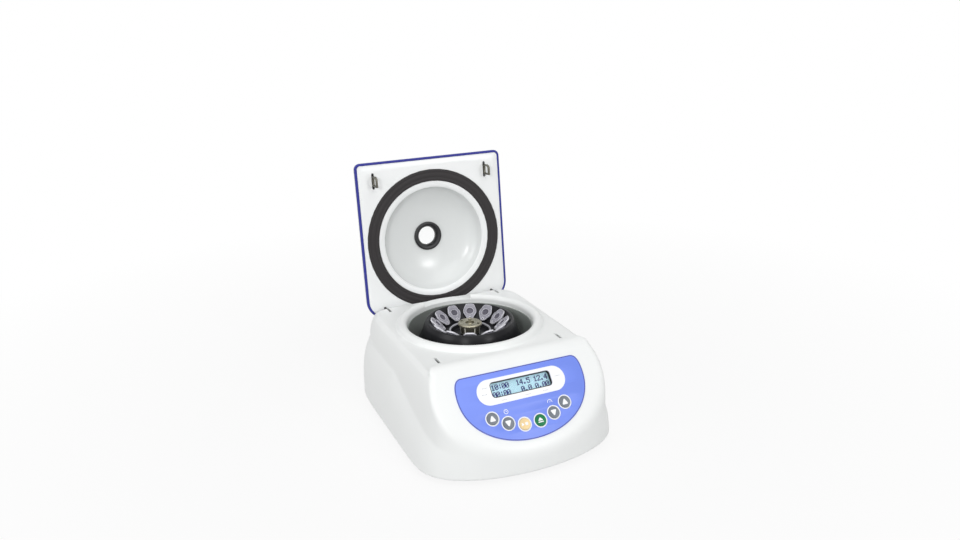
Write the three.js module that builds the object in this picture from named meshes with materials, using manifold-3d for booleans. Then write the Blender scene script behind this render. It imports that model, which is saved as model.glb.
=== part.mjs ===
// Bench centrifuge for twelve microtubes, with its lid standing open.
// Millimetres, +Z up, front towards -Y. Inside the model the rotor's axis is X = Y = 0 and the deck is Z = 0.
import * as THREE from 'three';
import { mergeVertices } from 'three/addons/utils/BufferGeometryUtils.js';
import Module from 'manifold-3d';

const wasm = await Module();
wasm.setup();

// Overall body
const deckHeight = 89;
const footHeight = 5;
const wall = 2.6;
const fit = 0.3;
const overrun = 4;

// Rotor and chamber, which set how wide the machine is
const tubeCount = 12;
const tubeAngle = THREE.MathUtils.degToRad(40);
const tubeTurn = THREE.MathUtils.degToRad(96.5);
const tubePitchRadius = 31.5;
const tubeLength = 36.4;
const rotorMargin = 3.5;
const rotorGap = 4.1;
const collarWidth = 10;
const deckMargin = 7.5;
const rotorRadius = tubePitchRadius + tubeLength * Math.sin(tubeAngle) + rotorMargin;
const chamberRadius = rotorRadius + rotorGap;

// Deck, with the raised front lip that the closed lid meets
const deckBackMargin = 3.7;
const lipMargin = 13.1;
const deckHalfWidth = chamberRadius + collarWidth + deckMargin;
const deckBack = chamberRadius + collarWidth + deckBackMargin;
const lipReach = chamberRadius + collarWidth + lipMargin;
const lipRise = 4.9;
const lipFillet = 16;
const deckEdge = 4;
const shelfDrop = 17;

// Housing sides: a sloped flank, a crease and a fuller fender under it
const flankSpread = 9;
const flankDepth = 14;
const fenderSpread = 9;
const fenderDepth = 60;
const fenderRoundShare = 4;
const creaseDrop = 25.5;
const creaseStart = 22;
const creaseFallShare = 0.3;
const backSpread = 13.8;
const housingHub = 20;
const backDepth = 24;
const bowSpread = 64.1;
const bowRise = 15;
const bowCurlShare = 0.3;
const bowLeanShare = 0.03;
const backCornerShare = 6;
const backDeckShare = 10;
const backCornerDepth = 10;
const frontCornerShare = 11;
const frontDeckShare = 7.5;
const frontCornerDepth = 16;
const bottomEdge = 1.5;
const panelBlend = 6;

// Control panel, a flat face that slopes down to the front
const panelAngle = THREE.MathUtils.degToRad(51.16);
const panelRunOut = 39.55;
const panelReach = lipReach + panelRunOut;
const panelDrop = 33.64;

// Collar round the chamber's mouth
const collarRise = 5;
const collarSkirt = 12;
const collarSkirtWall = 2.5;
const collarPlaned = 1.8;
const collarCut = chamberRadius - collarPlaned;
const collarCutRise = 0.4;

// Chamber bowl
const bowlWall = 0.8;
const bowlTop = 3;
const bowlFloorGap = 8.5;
const bowlCorner = 8;
const bowlHub = 9;
const bowlHubRise = 3;

// Rotor
const rotorRimReach = 9.7;
const rotorRimRadius = tubePitchRadius + rotorRimReach;
const rotorFloor = 6.6;
const rotorSkirt = 3;
const rotorTop = 8.2;
const rotorRing = 20;
const rotorRingRise = 1.3;
const rotorRingWidth = 1.6;
const rotorWell = 12;
const rotorWeb = 3.5;
const rotorHub = 10.5;

// Microtube
const tubeRadius = 5.35;
const tubeStraight = 20;
const tubeTip = 2;
const capRadius = 6.6;
const capThickness = 1.8;
const flangeThickness = 1.4;
const capDish = 3.8;
const capDishDepth = 0.9;
const capTab = 3.2;
const capTabHalfWidth = 3.4;
const capHinge = 1.8;
const capHingeHalfWidth = 3.8;

// Rotor nut and shaft
const nutRadius = 12;
const nutThickness = 2.6;
const nutTop = 0.4;
const nutNeck = 9.8;
const nutFoot = 7.6;
const nutHoles = 6;
const nutHoleRadius = 1.1;
const nutHoleCircle = 8.4;
const shaftRadius = 4;
const shaftSeat = 6;
const shaftGap = 0.12;
const studRadius = 3;
const studTop = 4;

// Motor and its mounting
const motorRadius = 28;
const motorGap = 3;
const motorFloorGap = 4.6;
const motorFins = 12;
const motorFinDepth = 1.5;
const motorFinWidth = 3;
const motorPlateRadius = 50;
const motorPlateThickness = 1.5;
const damperCircle = 42;
const damperRadius = 6;
const damperWaist = 4.6;
const damperHeight = 10;
const damperCount = 3;

// Base plate and feet
const basePlateThickness = 2.4;
const basePostRadius = 5;
const footRadius = 9;
const footTaper = 1;
const footInset = 8;
const footFrontInset = 51.7;
const footBackInset = 28;

// Lid
const lidSideOverhang = 0.2;
const lidFrontOverhang = 1.15;
const lidBackOverhang = 1.1;
const lidHalfWidth = deckHalfWidth + lidSideOverhang;
const lidFront = lipReach + lidFrontOverhang;
const lidBack = deckBack + lidBackOverhang;
const lidFrontCorner = 8;
const lidBackCorner = 20;
const lidLift = 5.6;
const trimHeight = 3.2;
const trimWidth = 2.2;
const linerInset = 2.5;
const linerFace = 0.2;
const linerThickness = 2.2;
const lidCrown = 35;
const lidWall = 2.2;
const crownShoulderShare = 2.6;
const crownRoundShare = 0.625;
const lidOpenAngle = THREE.MathUtils.degToRad(96.48);
const pivotInset = 6.2;
const pivotBack = deckBack - pivotInset;
const pivotDrop = 5.3;

// Gasket, dome and sight port of the lid
const gasketOverlap = 0.9;
const gasketWidth = 12.1;
const gasketInner = chamberRadius - gasketOverlap;
const gasketOuter = gasketInner + gasketWidth;
const gasketGap = 0.15;
const gasketDepth = 3.3;
const gasketBed = 1.4;
const domeMouthInset = 1.3;
const domeBevel = 5.5;
const domeMouth = gasketInner - domeMouthInset;
const domeRim = domeMouth - domeBevel;
const domeRimDepth = 6;
const domeDepth = 22.2;
const domeThickness = 2;
const portRadius = 15.4;
const portHole = 9.7;
const portDepth = 27.2;
const portWall = 1.6;
const sightThickness = 1.6;

// Loops that the latch holds, and the slots for them
const loopInset = 18.1;
const loopSetback = 17.9;
const loopSide = deckHalfWidth - loopInset;
const loopMiddle = lipReach - loopSetback;
const loopWidth = 11;
const loopReach = 13;
const loopThickness = 1.6;
const loopBar = 1.9;
const loopChamfer = 3;
const slotGap = 0.6;
const linerSlotLength = 16.6;
const linerSlotWidth = 2.8;
const footPlateWidth = 8;
const footPlateThickness = 1.4;

// Latch under the deck
const latchTravel = 3.4;
const latchRailWidth = 3;
const latchRailHeight = 4;
const latchTongueHeight = 1.9;
const latchTongueWidth = 3.4;
const latchRest = 1.2;
const latchTongueLength = 5;
const latchRodRadius = 2.5;
const latchRodLength = 24;
const solenoidLength = 30;
const solenoidHalf = 7.5;

// Lid hinges
const hingeInset = 18.6;
const hingeSide = deckHalfWidth - hingeInset;
const hingeEye = 3.6;
const hingePin = 1.8;
const hingePinGap = 0.2;
const hingePinSeat = 0.05;
const hingePinHalf = 4.3;
const hingeArmWidth = 9;
const hingeArmThickness = 1.6;
const hingeSlotWidth = 2.8;
const hingeSlotRun = 7.3;
const hingeSlotFront = pivotBack - hingeSlotRun;
const hingeSlotDepth = 11.6;
const hingeBlockHalf = 4.5;
const hingeBlockBehind = 2.8;
const hingeBlockBack = pivotBack + hingeBlockBehind;
const hingeBlockWall = 1.6;

// Keypad and display on the panel
const overlayThickness = 0.5;
const overlayInset = 17.4;
const overlayHalfWidth = deckHalfWidth - overlayInset;
const overlayTop = 37;
const overlayShoulder = 20;
const overlayCorner = 8.5;
const overlayBottom = 28.2;
const overlayDip = 10;
const overlayBelly = 34;
const displayHalfWidth = 29.5;
const displayTop = 27.7;
const displayBottom = 14;
const displayCorner = 3;
const bezelWidth = 0.8;
const windowThickness = 1.2;
const windowMargin = 5;
const boardThickness = 1.6;
const boardDepth = 9;
const boardHalfWidth = 52;
const boardTop = 34;
const boardBottom = 22;
const switchHalf = 3;
const switchHeight = 1.2;
const keyRadius = 5.2;
const keyGap = 0.35;
const keyRise = 0.8;
const keyTravel = 0.7;
const keyFlange = 1.1;
const keyFlangeThickness = 1;
const keyStem = 2.2;
const keyOuterSide = 35.6;
const keyOuterDrop = 3.2;
const keyMiddleSide = 22.3;
const keyMiddleDrop = 10.1;
const keyInnerSide = 7.7;
const keyInnerDrop = 14;

// Back of the housing
const inletSide = 34;
const inletLift = 23;
const inletHalfWidth = 13.5;
const inletHalfHeight = 10;
const inletDepth = 22;
const inletFlange = 3;
const inletFlangeThickness = 2;
const inletSocketWall = 2.2;
const inletSocketDepth = 14;
const inletPinRadius = 1.4;
const inletPinSpread = 5;
const switchSide = 4;
const rockerHalfWidth = 6.5;
const rockerHalfHeight = 10;
const rockerDepth = 12;
const rockerFrame = 2.2;
const rockerAngle = THREE.MathUtils.degToRad(12);
const rockerRise = 2.2;
const rockerThickness = 5;
const ventCount = 7;
const ventWidth = 2.4;
const ventHeight = 22;
const ventPitch = 6;
const ventInset = 22;
const ventLift = 26;

// Smoothness
const housingSteps = 48;
const ringSteps = 40;
const rotorSteps = 36;
const tubeSteps = 8;
const smallSteps = 10;
const collarSteps = 5;
const outlineSteps = 4;

// Worked out from the sizes above
const baseDrop = deckHeight - footHeight;
const housingBack = deckBack + backSpread;
const bowReach = lipReach + bowSpread;
const rotorBottom = tubeLength * Math.cos(tubeAngle) + rotorFloor;
const bowlDepth = rotorBottom + bowlFloorGap;
const motorTop = bowlDepth + motorGap;
const motorBottom = baseDrop - basePlateThickness - motorFloorGap;
const footSide = deckHalfWidth - footInset;
const footFront = bowReach - footFrontInset;
const footBack = housingBack - footBackInset;
const inletDrop = baseDrop - inletLift;
const ventSide = -deckHalfWidth + ventInset;
const ventDrop = baseDrop - ventLift;
const panelHeight = Math.sin(panelAngle);
const panelRun = Math.cos(panelAngle);
const linerZ = lidLift + linerFace;
const gasketZ = collarRise + gasketGap;

// Finishes
function finish(color, roughness, metalness = 0) {
  return { color, roughness, metalness };
}

const whiteShell = finish('#eceeee', 0.42);
const whiteLiner = finish('#e6e9e8', 0.45);
const blueTrim = finish('#3f479c', 0.4);
const blueOverlay = finish('#8a9cf8', 0.35);
const blackRubber = finish('#2b2829', 0.75);
const blackPlastic = finish('#1d1d20', 0.45);
const satinSteel = finish('#a9adae', 0.35, 0.9);
const brightSteel = finish('#c4c4c0', 0.25, 1);
const champagne = finish('#9c9680', 0.32, 0.9);
const rotorBlack = finish('#26262a', 0.38, 0.5);
const clearPlastic = finish('#dcdde8', 0.12);
const boardGreen = finish('#2c5a43', 0.6);
const keyGrey = finish('#7c8488', 0.4);
const keyYellow = finish('#f3cf85', 0.4);
const keyGreen = finish('#2f8a4a', 0.4);
const displayCyan = finish('#a8ccd4', 0.3);
const motorGrey = finish('#6c7073', 0.5, 0.7);

// Closed geometry with merged corners and its faces pointing out
function closed(geometry) {
  const bare = new THREE.BufferGeometry();
  bare.setAttribute('position', geometry.getAttribute('position').clone());
  if (geometry.index) bare.setIndex(geometry.index.clone());
  const merged = mergeVertices(bare, 1e-5);
  const place = merged.getAttribute('position');
  const index = merged.index.array;
  const kept = [];
  let volume = 0;
  const a = new THREE.Vector3();
  const b = new THREE.Vector3();
  const c = new THREE.Vector3();
  for (let i = 0; i < index.length; i += 3) {
    const [p, q, r] = [index[i], index[i + 1], index[i + 2]];
    if (p === q || q === r || r === p) continue;
    a.fromBufferAttribute(place, p);
    b.fromBufferAttribute(place, q);
    c.fromBufferAttribute(place, r);
    volume += a.dot(b.cross(c));
    kept.push(p, q, r);
  }
  if (volume < 0) kept.reverse();
  merged.setIndex(kept);
  return merged;
}

function solid(geometry) {
  const shut = closed(geometry);
  const vertProperties = new Float32Array(shut.getAttribute('position').array);
  const triVerts = new Uint32Array(shut.index.array);
  return new wasm.Manifold(new wasm.Mesh({ numProp: 3, vertProperties, triVerts }));
}

function geometryOf(body) {
  const mesh = body.getMesh();
  const geometry = new THREE.BufferGeometry();
  geometry.setAttribute('position', new THREE.BufferAttribute(new Float32Array(mesh.vertProperties), 3));
  geometry.setIndex(new THREE.BufferAttribute(new Uint32Array(mesh.triVerts), 1));
  return geometry;
}

function joined(first, ...others) {
  return others.reduce((sum, next) => sum.add(next), first);
}

function cut(first, ...others) {
  return others.reduce((rest, next) => rest.subtract(next), first);
}

function mesh(name, shape, look) {
  const geometry = shape.isBufferGeometry ? closed(shape) : geometryOf(shape);
  const node = new THREE.Mesh(geometry, new THREE.MeshStandardMaterial(look));
  node.name = name;
  return node;
}

// Plain forms
function block(x0, x1, y0, y1, z0, z1) {
  const geometry = new THREE.BoxGeometry(x1 - x0, y1 - y0, z1 - z0);
  return geometry.translate((x0 + x1) / 2, (y0 + y1) / 2, (z0 + z1) / 2);
}

function rod(radius, z0, z1, x = 0, y = 0, steps = smallSteps) {
  const geometry = new THREE.CylinderGeometry(radius, radius, z1 - z0, steps).rotateX(Math.PI / 2);
  return geometry.translate(x, y, (z0 + z1) / 2);
}

function turned(profile, steps) {
  const points = profile.map(([r, z]) => new THREE.Vector2(r, z));
  return new THREE.LatheGeometry(points, steps).rotateX(Math.PI / 2);
}

function turnedRing(profile, steps) {
  return turned([...profile, profile[0]], steps);
}

function slab(shape, z0, z1, curveSegments = smallSteps) {
  const geometry = new THREE.ExtrudeGeometry(shape, { depth: z1 - z0, bevelEnabled: false, curveSegments });
  return geometry.translate(0, 0, z0);
}

// Closed skin through rings of equal length, flat at both ends
function loft(rings) {
  const steps = rings[0].length;
  const places = rings.flat().flatMap((p) => [p.x, p.y, p.z]);
  const index = [];
  for (let level = 0; level + 1 < rings.length; level += 1) {
    for (let i = 0; i < steps; i += 1) {
      const low = level * steps;
      const next = (i + 1) % steps;
      index.push(low + i, low + next, low + steps + next);
      index.push(low + i, low + steps + next, low + steps + i);
    }
  }
  const last = (rings.length - 1) * steps;
  for (let i = 1; i + 1 < steps; i += 1) {
    index.push(0, i + 1, i);
    index.push(last, last + i, last + i + 1);
  }
  const geometry = new THREE.BufferGeometry();
  geometry.setAttribute('position', new THREE.Float32BufferAttribute(places, 3));
  geometry.setIndex(index);
  return geometry;
}

// Housing outline at one height
function edgeInset(z, top, radius) {
  const rise = THREE.MathUtils.clamp(z - top + radius, 0, radius);
  return radius - Math.sqrt(radius * radius - rise * rise);
}

function sideReach(y, z, inset) {
  const flank = flankSpread * (1 - Math.exp(Math.min(z, 0) / flankDepth));
  const past = Math.max(-y - creaseStart, 0);
  const depth = THREE.MathUtils.clamp((-creaseDrop - creaseFallShare * past - z) / fenderDepth, 0, 1);
  const fender = fenderSpread * (1 - (1 - depth) ** fenderRoundShare);
  const lipShare = THREE.MathUtils.smoothstep(-y, lipReach - deckEdge, lipReach);
  return deckHalfWidth + flank + fender - inset - edgeInset(z, lipRise * lipShare - inset, deckEdge - inset);
}

function backReach(z, inset) {
  const spread = housingBack - deckBack;
  const depth = THREE.MathUtils.clamp(-z / backDepth, 0, 1);
  return deckBack + spread * Math.sin((depth * Math.PI) / 2) - inset - edgeInset(z, -inset, deckEdge - inset);
}

function bowAt(x, z) {
  const share = (x / deckHalfWidth) ** 2;
  return bowReach - bowRise * share * (1 + bowCurlShare * share) - bowLeanShare * (z + baseDrop);
}

function panelAt(z) {
  const slope = panelRun / panelHeight;
  const topEdge = panelReach - (lipRise + panelDrop) * slope;
  const tangent = lipFillet * Math.tan(panelAngle / 2);
  const flatTop = topEdge - tangent;
  const rise = z - lipRise + lipFillet;
  if (rise > lipFillet * panelRun) return flatTop + Math.sqrt(Math.max(lipFillet ** 2 - rise ** 2, 0));
  return panelReach - (z + panelDrop) * slope;
}

function softMin(a, b, width) {
  const share = Math.max(width - Math.abs(a - b), 0) / width;
  return Math.min(a, b) - (share * share * width) / 4;
}

// Directions that crowd a little at the rounded corners
function ringAngle(step) {
  const turn = (step / housingSteps) * 2 * Math.PI;
  const across = Math.sign(Math.cos(turn)) * Math.sqrt(Math.abs(Math.cos(turn)));
  const along = Math.sign(Math.sin(turn)) * Math.sqrt(Math.abs(Math.sin(turn)));
  const crowded = Math.atan2(along * ringAspectShare, across);
  const gap = Math.atan2(Math.sin(crowded - turn), Math.cos(crowded - turn));
  return turn + gap * ringCrowdShare;
}

function cornerPower(z, low, top, depth) {
  return low + (top - low) * Math.exp(Math.min(z, 0) / depth);
}

function housingRing(z, inset) {
  const frontPower = cornerPower(z, frontCornerShare, frontDeckShare, frontCornerDepth);
  const backPower = cornerPower(z, backCornerShare, backDeckShare, backCornerDepth);
  const ring = [];
  for (let i = 0; i < housingSteps; i += 1) {
    const angle = ringAngle(i);
    const across = Math.cos(angle);
    const along = Math.sin(angle);
    const power = along < 0 ? frontPower : backPower;
    let low = 0;
    let high = bowReach + housingBack;
    for (let turn = 0; turn < 40; turn += 1) {
      const reach = (low + high) / 2;
      const x = reach * across;
      const y = reach * along - housingHub;
      const side = Math.abs(x) / sideReach(y, z, inset);
      const end = along < 0 ? bowAt(x, z) - inset - housingHub : backReach(z, inset) + housingHub;
      if (side ** power + Math.abs((reach * along) / end) ** power < 1) low = reach;
      else high = reach;
    }
    let reach = low;
    if (along < 0) {
      const face = (panelAt(z) - inset / panelHeight - housingHub) / -along;
      reach = softMin(reach, face, panelBlend);
    }
    ring.push(new THREE.Vector3(reach * across, reach * along - housingHub, z));
  }
  return ring;
}

const housingLevelShares = [0.84, 0.7, 0.58, 0.47, 0.37, 0.28, 0.2, 0.12];
const roundShares = [1, 0.45, 0.12, 0];
const ringAspectShare = 1.25;
const ringCrowdShare = 0.5;

function outerLoft() {
  const levels = housingLevelShares.map((share) => -baseDrop * share);
  levels.push(...roundShares.map((share) => -deckEdge * share));
  levels.push(...roundShares.map((share) => lipRise - deckEdge * share));
  const rings = [housingRing(-baseDrop, bottomEdge), housingRing(-baseDrop + bottomEdge, 0)];
  return solid(loft([...rings, ...levels.map((z) => housingRing(z, 0))]));
}

function innerLoft() {
  const edge = deckEdge - wall;
  const levels = [-baseDrop - overrun, ...housingLevelShares.map((share) => -baseDrop * share)];
  levels.push(...roundShares.map((share) => -wall - edge * share));
  return solid(loft(levels.map((z) => housingRing(z, wall))));
}

// Places on the sloped panel
function onPanel(node) {
  node.rotation.x = panelAngle;
  node.position.set(0, -panelReach, -panelDrop);
  return node;
}

function panelSolid(geometry) {
  const place = new THREE.Object3D();
  onPanel(place).updateMatrix();
  return solid(geometry.applyMatrix4(place.matrix));
}

const keys = [
  ['key_time_up', -keyOuterSide, keyOuterDrop, keyGrey],
  ['key_time_down', -keyMiddleSide, keyMiddleDrop, keyGrey],
  ['key_start_stop', -keyInnerSide, keyInnerDrop, keyYellow],
  ['key_open', keyInnerSide, keyInnerDrop, keyGreen],
  ['key_speed_down', keyMiddleSide, keyMiddleDrop, keyGrey],
  ['key_speed_up', keyOuterSide, keyOuterDrop, keyGrey],
];

function roundedBox(x0, x1, y0, y1, radius) {
  const shape = new THREE.Shape();
  shape.moveTo(x0 + radius, y0);
  shape.lineTo(x1 - radius, y0);
  shape.absarc(x1 - radius, y0 + radius, radius, -Math.PI / 2, 0);
  shape.lineTo(x1, y1 - radius);
  shape.absarc(x1 - radius, y1 - radius, radius, 0, Math.PI / 2);
  shape.lineTo(x0 + radius, y1);
  shape.absarc(x0 + radius, y1 - radius, radius, Math.PI / 2, Math.PI);
  shape.lineTo(x0, y0 + radius);
  shape.absarc(x0 + radius, y0 + radius, radius, Math.PI, 1.5 * Math.PI);
  return shape;
}

function displayOutline(margin) {
  const corner = Math.max(displayCorner + margin, displayCorner / 2);
  const half = displayHalfWidth + margin;
  return roundedBox(-half, half, displayBottom - margin, displayTop + margin, corner);
}

// Housing
function collarBody() {
  const middle = chamberRadius + collarWidth / 2;
  const half = collarWidth / 2;
  const profile = [[chamberRadius - overrun, -wall]];
  profile.push([chamberRadius - overrun, 0]);
  for (let i = 0; i <= collarSteps; i += 1) {
    const turn = Math.PI - (i / collarSteps) * Math.PI;
    profile.push([middle + half * Math.cos(turn), collarRise * Math.sin(turn)]);
  }
  profile.push([chamberRadius + collarWidth, -wall]);
  const skirt = [
    [chamberRadius - overrun, -collarSkirt],
    [chamberRadius - overrun, -wall / 2],
    [chamberRadius + collarSkirtWall, -wall / 2],
    [chamberRadius + collarSkirtWall, -collarSkirt],
  ];
  const farBack = block(-deckHalfWidth, deckHalfWidth, collarCut, deckBack + overrun, collarCutRise, collarRise + overrun);
  return cut(solid(turnedRing(profile, ringSteps)), solid(farBack)).add(solid(turnedRing(skirt, ringSteps)));
}

function hingeSlot(side) {
  const half = hingeSlotWidth / 2;
  const x = side * hingeSide;
  return solid(block(x - half, x + half, hingeSlotFront, deckBack + overrun, -hingeSlotDepth, overrun));
}

function hingePocket(side) {
  const x = side * hingeSide;
  const half = hingeBlockHalf + fit / 3;
  const y0 = hingeSlotFront - hingeBlockWall - fit / 3;
  return solid(block(x - half, x + half, y0, hingeBlockBack + fit / 3, -hingeSlotDepth, -wall));
}

function loopSlot(side) {
  const x = side * loopSide;
  const halfLength = loopWidth / 2 + slotGap;
  const halfWidth = loopThickness / 2 + slotGap;
  const y = -loopMiddle;
  return solid(block(x - halfWidth, x + halfWidth, y - halfLength, y + halfLength, -wall - overrun, overrun));
}

function ventCuts() {
  const cuts = [];
  for (let i = 0; i < ventCount; i += 1) {
    const x = ventSide + i * ventPitch;
    const y0 = housingBack - wall - overrun;
    const y1 = housingBack + overrun;
    cuts.push(solid(block(x, x + ventWidth, y0, y1, -ventDrop - ventHeight / 2, -ventDrop + ventHeight / 2)));
  }
  return cuts;
}

function backWindow(x, halfWidth, halfHeight) {
  const y0 = housingBack - wall - overrun;
  const y1 = housingBack + overrun;
  return solid(block(x - halfWidth, x + halfWidth, y0, y1, -inletDrop - halfHeight, -inletDrop + halfHeight));
}

function housing() {
  const far = bowReach + housingBack;
  const outer = outerLoft();
  const above = solid(block(-far, far, -lipReach, far, 0, far));
  const behind = solid(block(-far, far, deckBack, far, -shelfDrop, far));
  const behindInside = solid(block(-far, far, deckBack - wall, far, -shelfDrop - wall, far));
  const hollow = innerLoft().subtract(behindInside);
  const bore = solid(rod(chamberRadius, -baseDrop, far, 0, 0, ringSteps));
  const shell = cut(outer, above, behind, hollow).add(collarBody()).subtract(bore);
  const keyCuts = keys.map(([, x, drop]) => {
    return panelSolid(rod(keyRadius + keyGap, -wall - overrun, overrun, x, -drop));
  });
  const posts = [];
  for (const x of [-1, 1]) {
    for (const y of [boardTop, -boardBottom]) {
      const inward = Math.sign(y) * (basePostRadius + fit);
      const px = x * (boardHalfWidth - basePostRadius - fit);
      posts.push(panelSolid(rod(basePostRadius / 2, -boardDepth, -wall / 2, px, y - inward)));
    }
  }
  return cut(
    joined(shell, ...posts),
    panelSolid(slab(displayOutline(fit), -wall - overrun, overrun, outlineSteps)),
    ...keyCuts,
    ...[-1, 1].map(hingeSlot),
    ...[-1, 1].map(hingePocket),
    ...[-1, 1].map(loopSlot),
    ...ventCuts(),
    backWindow(inletSide, inletHalfWidth + fit, inletHalfHeight + fit),
    backWindow(switchSide, rockerHalfWidth + fit, rockerHalfHeight + fit),
  );
}

// Base plate with posts for the dampers, and its feet
const damperAngles = Array.from({ length: damperCount }, (_, i) => ((i + 0.25) / damperCount) * 2 * Math.PI);

function basePlate() {
  const inset = wall + fit;
  const plate = solid(loft([-baseDrop, -baseDrop + basePlateThickness].map((z) => housingRing(z, inset))));
  const low = -baseDrop + basePlateThickness / 2;
  const high = -motorTop - damperHeight;
  const posts = damperAngles.map((angle) => {
    const [x, y] = [damperCircle * Math.cos(angle), damperCircle * Math.sin(angle)];
    return solid(rod(basePostRadius, low, high, x, y));
  });
  return joined(plate, ...posts);
}

function foot() {
  return turned(
    [[0, -footHeight], [footRadius - footTaper, -footHeight], [footRadius, -footTaper], [footRadius, 0], [0, 0]],
    smallSteps,
  ).translate(0, 0, -baseDrop);
}

function feet() {
  const places = [
    ['foot_front_left', -footSide, -footFront],
    ['foot_front_right', footSide, -footFront],
    ['foot_back_left', -footSide, footBack],
    ['foot_back_right', footSide, footBack],
  ];
  return places.map(([name, x, y]) => mesh(name, foot().translate(x, y, 0), blackRubber));
}

// Chamber bowl
function bowl() {
  const outer = chamberRadius - fit;
  const inner = outer - bowlWall;
  const floor = -bowlDepth;
  const profile = [
    [outer, -bowlTop],
    [outer, floor + bowlCorner],
    [outer - bowlCorner, floor - bowlWall],
    [bowlHub + bowlWall, floor - bowlWall],
    [bowlHub, floor + bowlHubRise],
    [bowlHub + bowlWall, floor + bowlHubRise],
    [bowlHub + bowlWall * 2, floor],
    [inner - bowlCorner, floor],
    [inner, floor + bowlCorner],
    [inner, -bowlTop],
  ];
  return turnedRing(profile, ringSteps);
}

// Rotor with its slanted wells
function onTubeAxis(geometry, index) {
  const turn = (index / tubeCount) * 2 * Math.PI + tubeTurn;
  geometry.rotateY(-tubeAngle);
  geometry.translate(tubePitchRadius, 0, 0);
  return geometry.rotateZ(turn);
}

function rotor() {
  const seat = capThickness + flangeThickness + fit / 3;
  const seatRadius = tubePitchRadius + seat * Math.sin(tubeAngle);
  const seatDepth = seat * Math.cos(tubeAngle);
  const rise = Math.tan(tubeAngle);
  const rim = -seatDepth + (rotorRimRadius - seatRadius) * rise;
  const innerCone = seatRadius - (rotorTop - seatDepth) / rise;
  const shoulder = rotorRimRadius + (rotorRadius - rotorRimRadius) / 4;
  const ringInner = rotorRing - rotorRingWidth / 2;
  const ringOuter = rotorRing + rotorRingWidth / 2;
  const under = rotorWell + rotorWeb;
  const boreRadius = shaftRadius + fit / 2;
  const lower = rotorRadius - rotorRimRadius;
  const body = turnedRing(
    [
      [boreRadius, -rotorBottom],
      [rotorHub, -rotorBottom],
      [rotorHub + rotorWeb / 2, -under],
      [innerCone, -under],
      [rotorRimRadius, -rotorBottom + rotorWell],
      [rotorRadius - lower / 2, -rotorBottom + rotorSkirt],
      [rotorRadius - rotorSkirt, -rotorBottom],
      [rotorRadius, -rotorBottom + rotorSkirt / 2],
      [rotorRadius, -rotorBottom + rotorSkirt * 1.5],
      [rotorRadius - lower / 8, -rotorWell * 2],
      [shoulder + lower / 4, -rotorWell],
      [shoulder, rim - lower / 4],
      [rotorRimRadius + lower / 8, rim],
      [rotorRimRadius, rim],
      [innerCone, -rotorTop],
      [ringOuter, -rotorTop],
      [rotorRing, -rotorTop + rotorRingRise],
      [ringInner, -rotorTop],
      [ringInner - rotorRingWidth, -rotorWell],
      [boreRadius, -rotorWell],
    ],
    rotorSteps,
  );
  const gap = fit;
  const wells = Array.from({ length: tubeCount }, (_, i) => {
    const hole = turned(
      [
        [0, -tubeLength - gap * 2],
        [tubeTip + gap, -tubeLength + gap],
        [tubeRadius + gap, -tubeStraight - gap],
        [tubeRadius + gap, -seat],
        [capRadius + gap, -seat],
        [capRadius + gap, overrun],
        [0, overrun],
      ],
      tubeSteps,
    );
    return solid(onTubeAxis(hole, i));
  });
  return cut(solid(body), ...wells);
}

// Microtube with its hinged cap closed, drawn upright with the cap's top at Z = 0
function tube() {
  const flange = capThickness + flangeThickness;
  const profile = [
    [0, -capDishDepth],
    [capDish - capDishDepth, -capDishDepth],
    [capDish, 0],
    [capRadius, 0],
    [capRadius, -capThickness],
    [capRadius - fit, -flange],
    [tubeRadius, -flange],
    [tubeRadius, -tubeStraight],
    [tubeTip, -tubeLength + tubeTip / 2],
    [0, -tubeLength],
  ];
  const tab = new THREE.Shape();
  tab.moveTo(-capRadius / 2, -capTabHalfWidth);
  tab.lineTo(-capRadius, -capTabHalfWidth);
  tab.quadraticCurveTo(-capRadius - capTab, -capTabHalfWidth, -capRadius - capTab, 0);
  tab.quadraticCurveTo(-capRadius - capTab, capTabHalfWidth, -capRadius, capTabHalfWidth);
  tab.lineTo(-capRadius / 2, capTabHalfWidth);
  const tabSlab = slab(tab, -capThickness * 0.9, -capThickness / 4, outlineSteps / 2);
  const strap = block(
    capRadius / 2, capRadius + capHinge, -capHingeHalfWidth, capHingeHalfWidth, -flange * 0.9, -capThickness / 4,
  );
  return joined(solid(turned(profile, tubeSteps)), solid(tabSlab), solid(strap));
}

function tubes() {
  return Array.from({ length: tubeCount }, (_, i) => {
    const number = String(i + 1).padStart(2, '0');
    return mesh(`tube_${number}`, onTubeAxis(geometryOf(tube()), i), clearPlastic);
  });
}

function rotorNut() {
  const boreRadius = studRadius + fit / 2;
  const under = nutTop - nutThickness;
  const foot = -rotorWell + fit / 3;
  const body = turned(
    [
      [0, nutTop],
      [nutRadius - nutThickness / 4, nutTop],
      [nutRadius, nutTop - nutThickness / 4],
      [nutRadius, under + nutThickness / 4],
      [nutNeck, under],
      [nutFoot, foot],
      [boreRadius, foot],
      [boreRadius, -studTop + fit],
      [0, -studTop + fit],
    ],
    rotorSteps / 2,
  );
  const holes = Array.from({ length: nutHoles }, (_, i) => {
    const angle = (i / nutHoles) * 2 * Math.PI;
    const [x, y] = [nutHoleCircle * Math.cos(angle), nutHoleCircle * Math.sin(angle)];
    return solid(rod(nutHoleRadius, nutTop - nutThickness / 2, overrun, x, y, smallSteps / 2));
  });
  return cut(solid(body), ...holes);
}

function rotorShaft() {
  const bottom = -motorTop - shaftSeat;
  const profile = [
    [0, bottom],
    [shaftRadius, bottom],
    [shaftRadius, -rotorWell - fit],
    [studRadius, -rotorWell],
    [studRadius, -studTop],
    [0, -studTop],
  ];
  return turned(profile, rotorSteps / 2);
}

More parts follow.
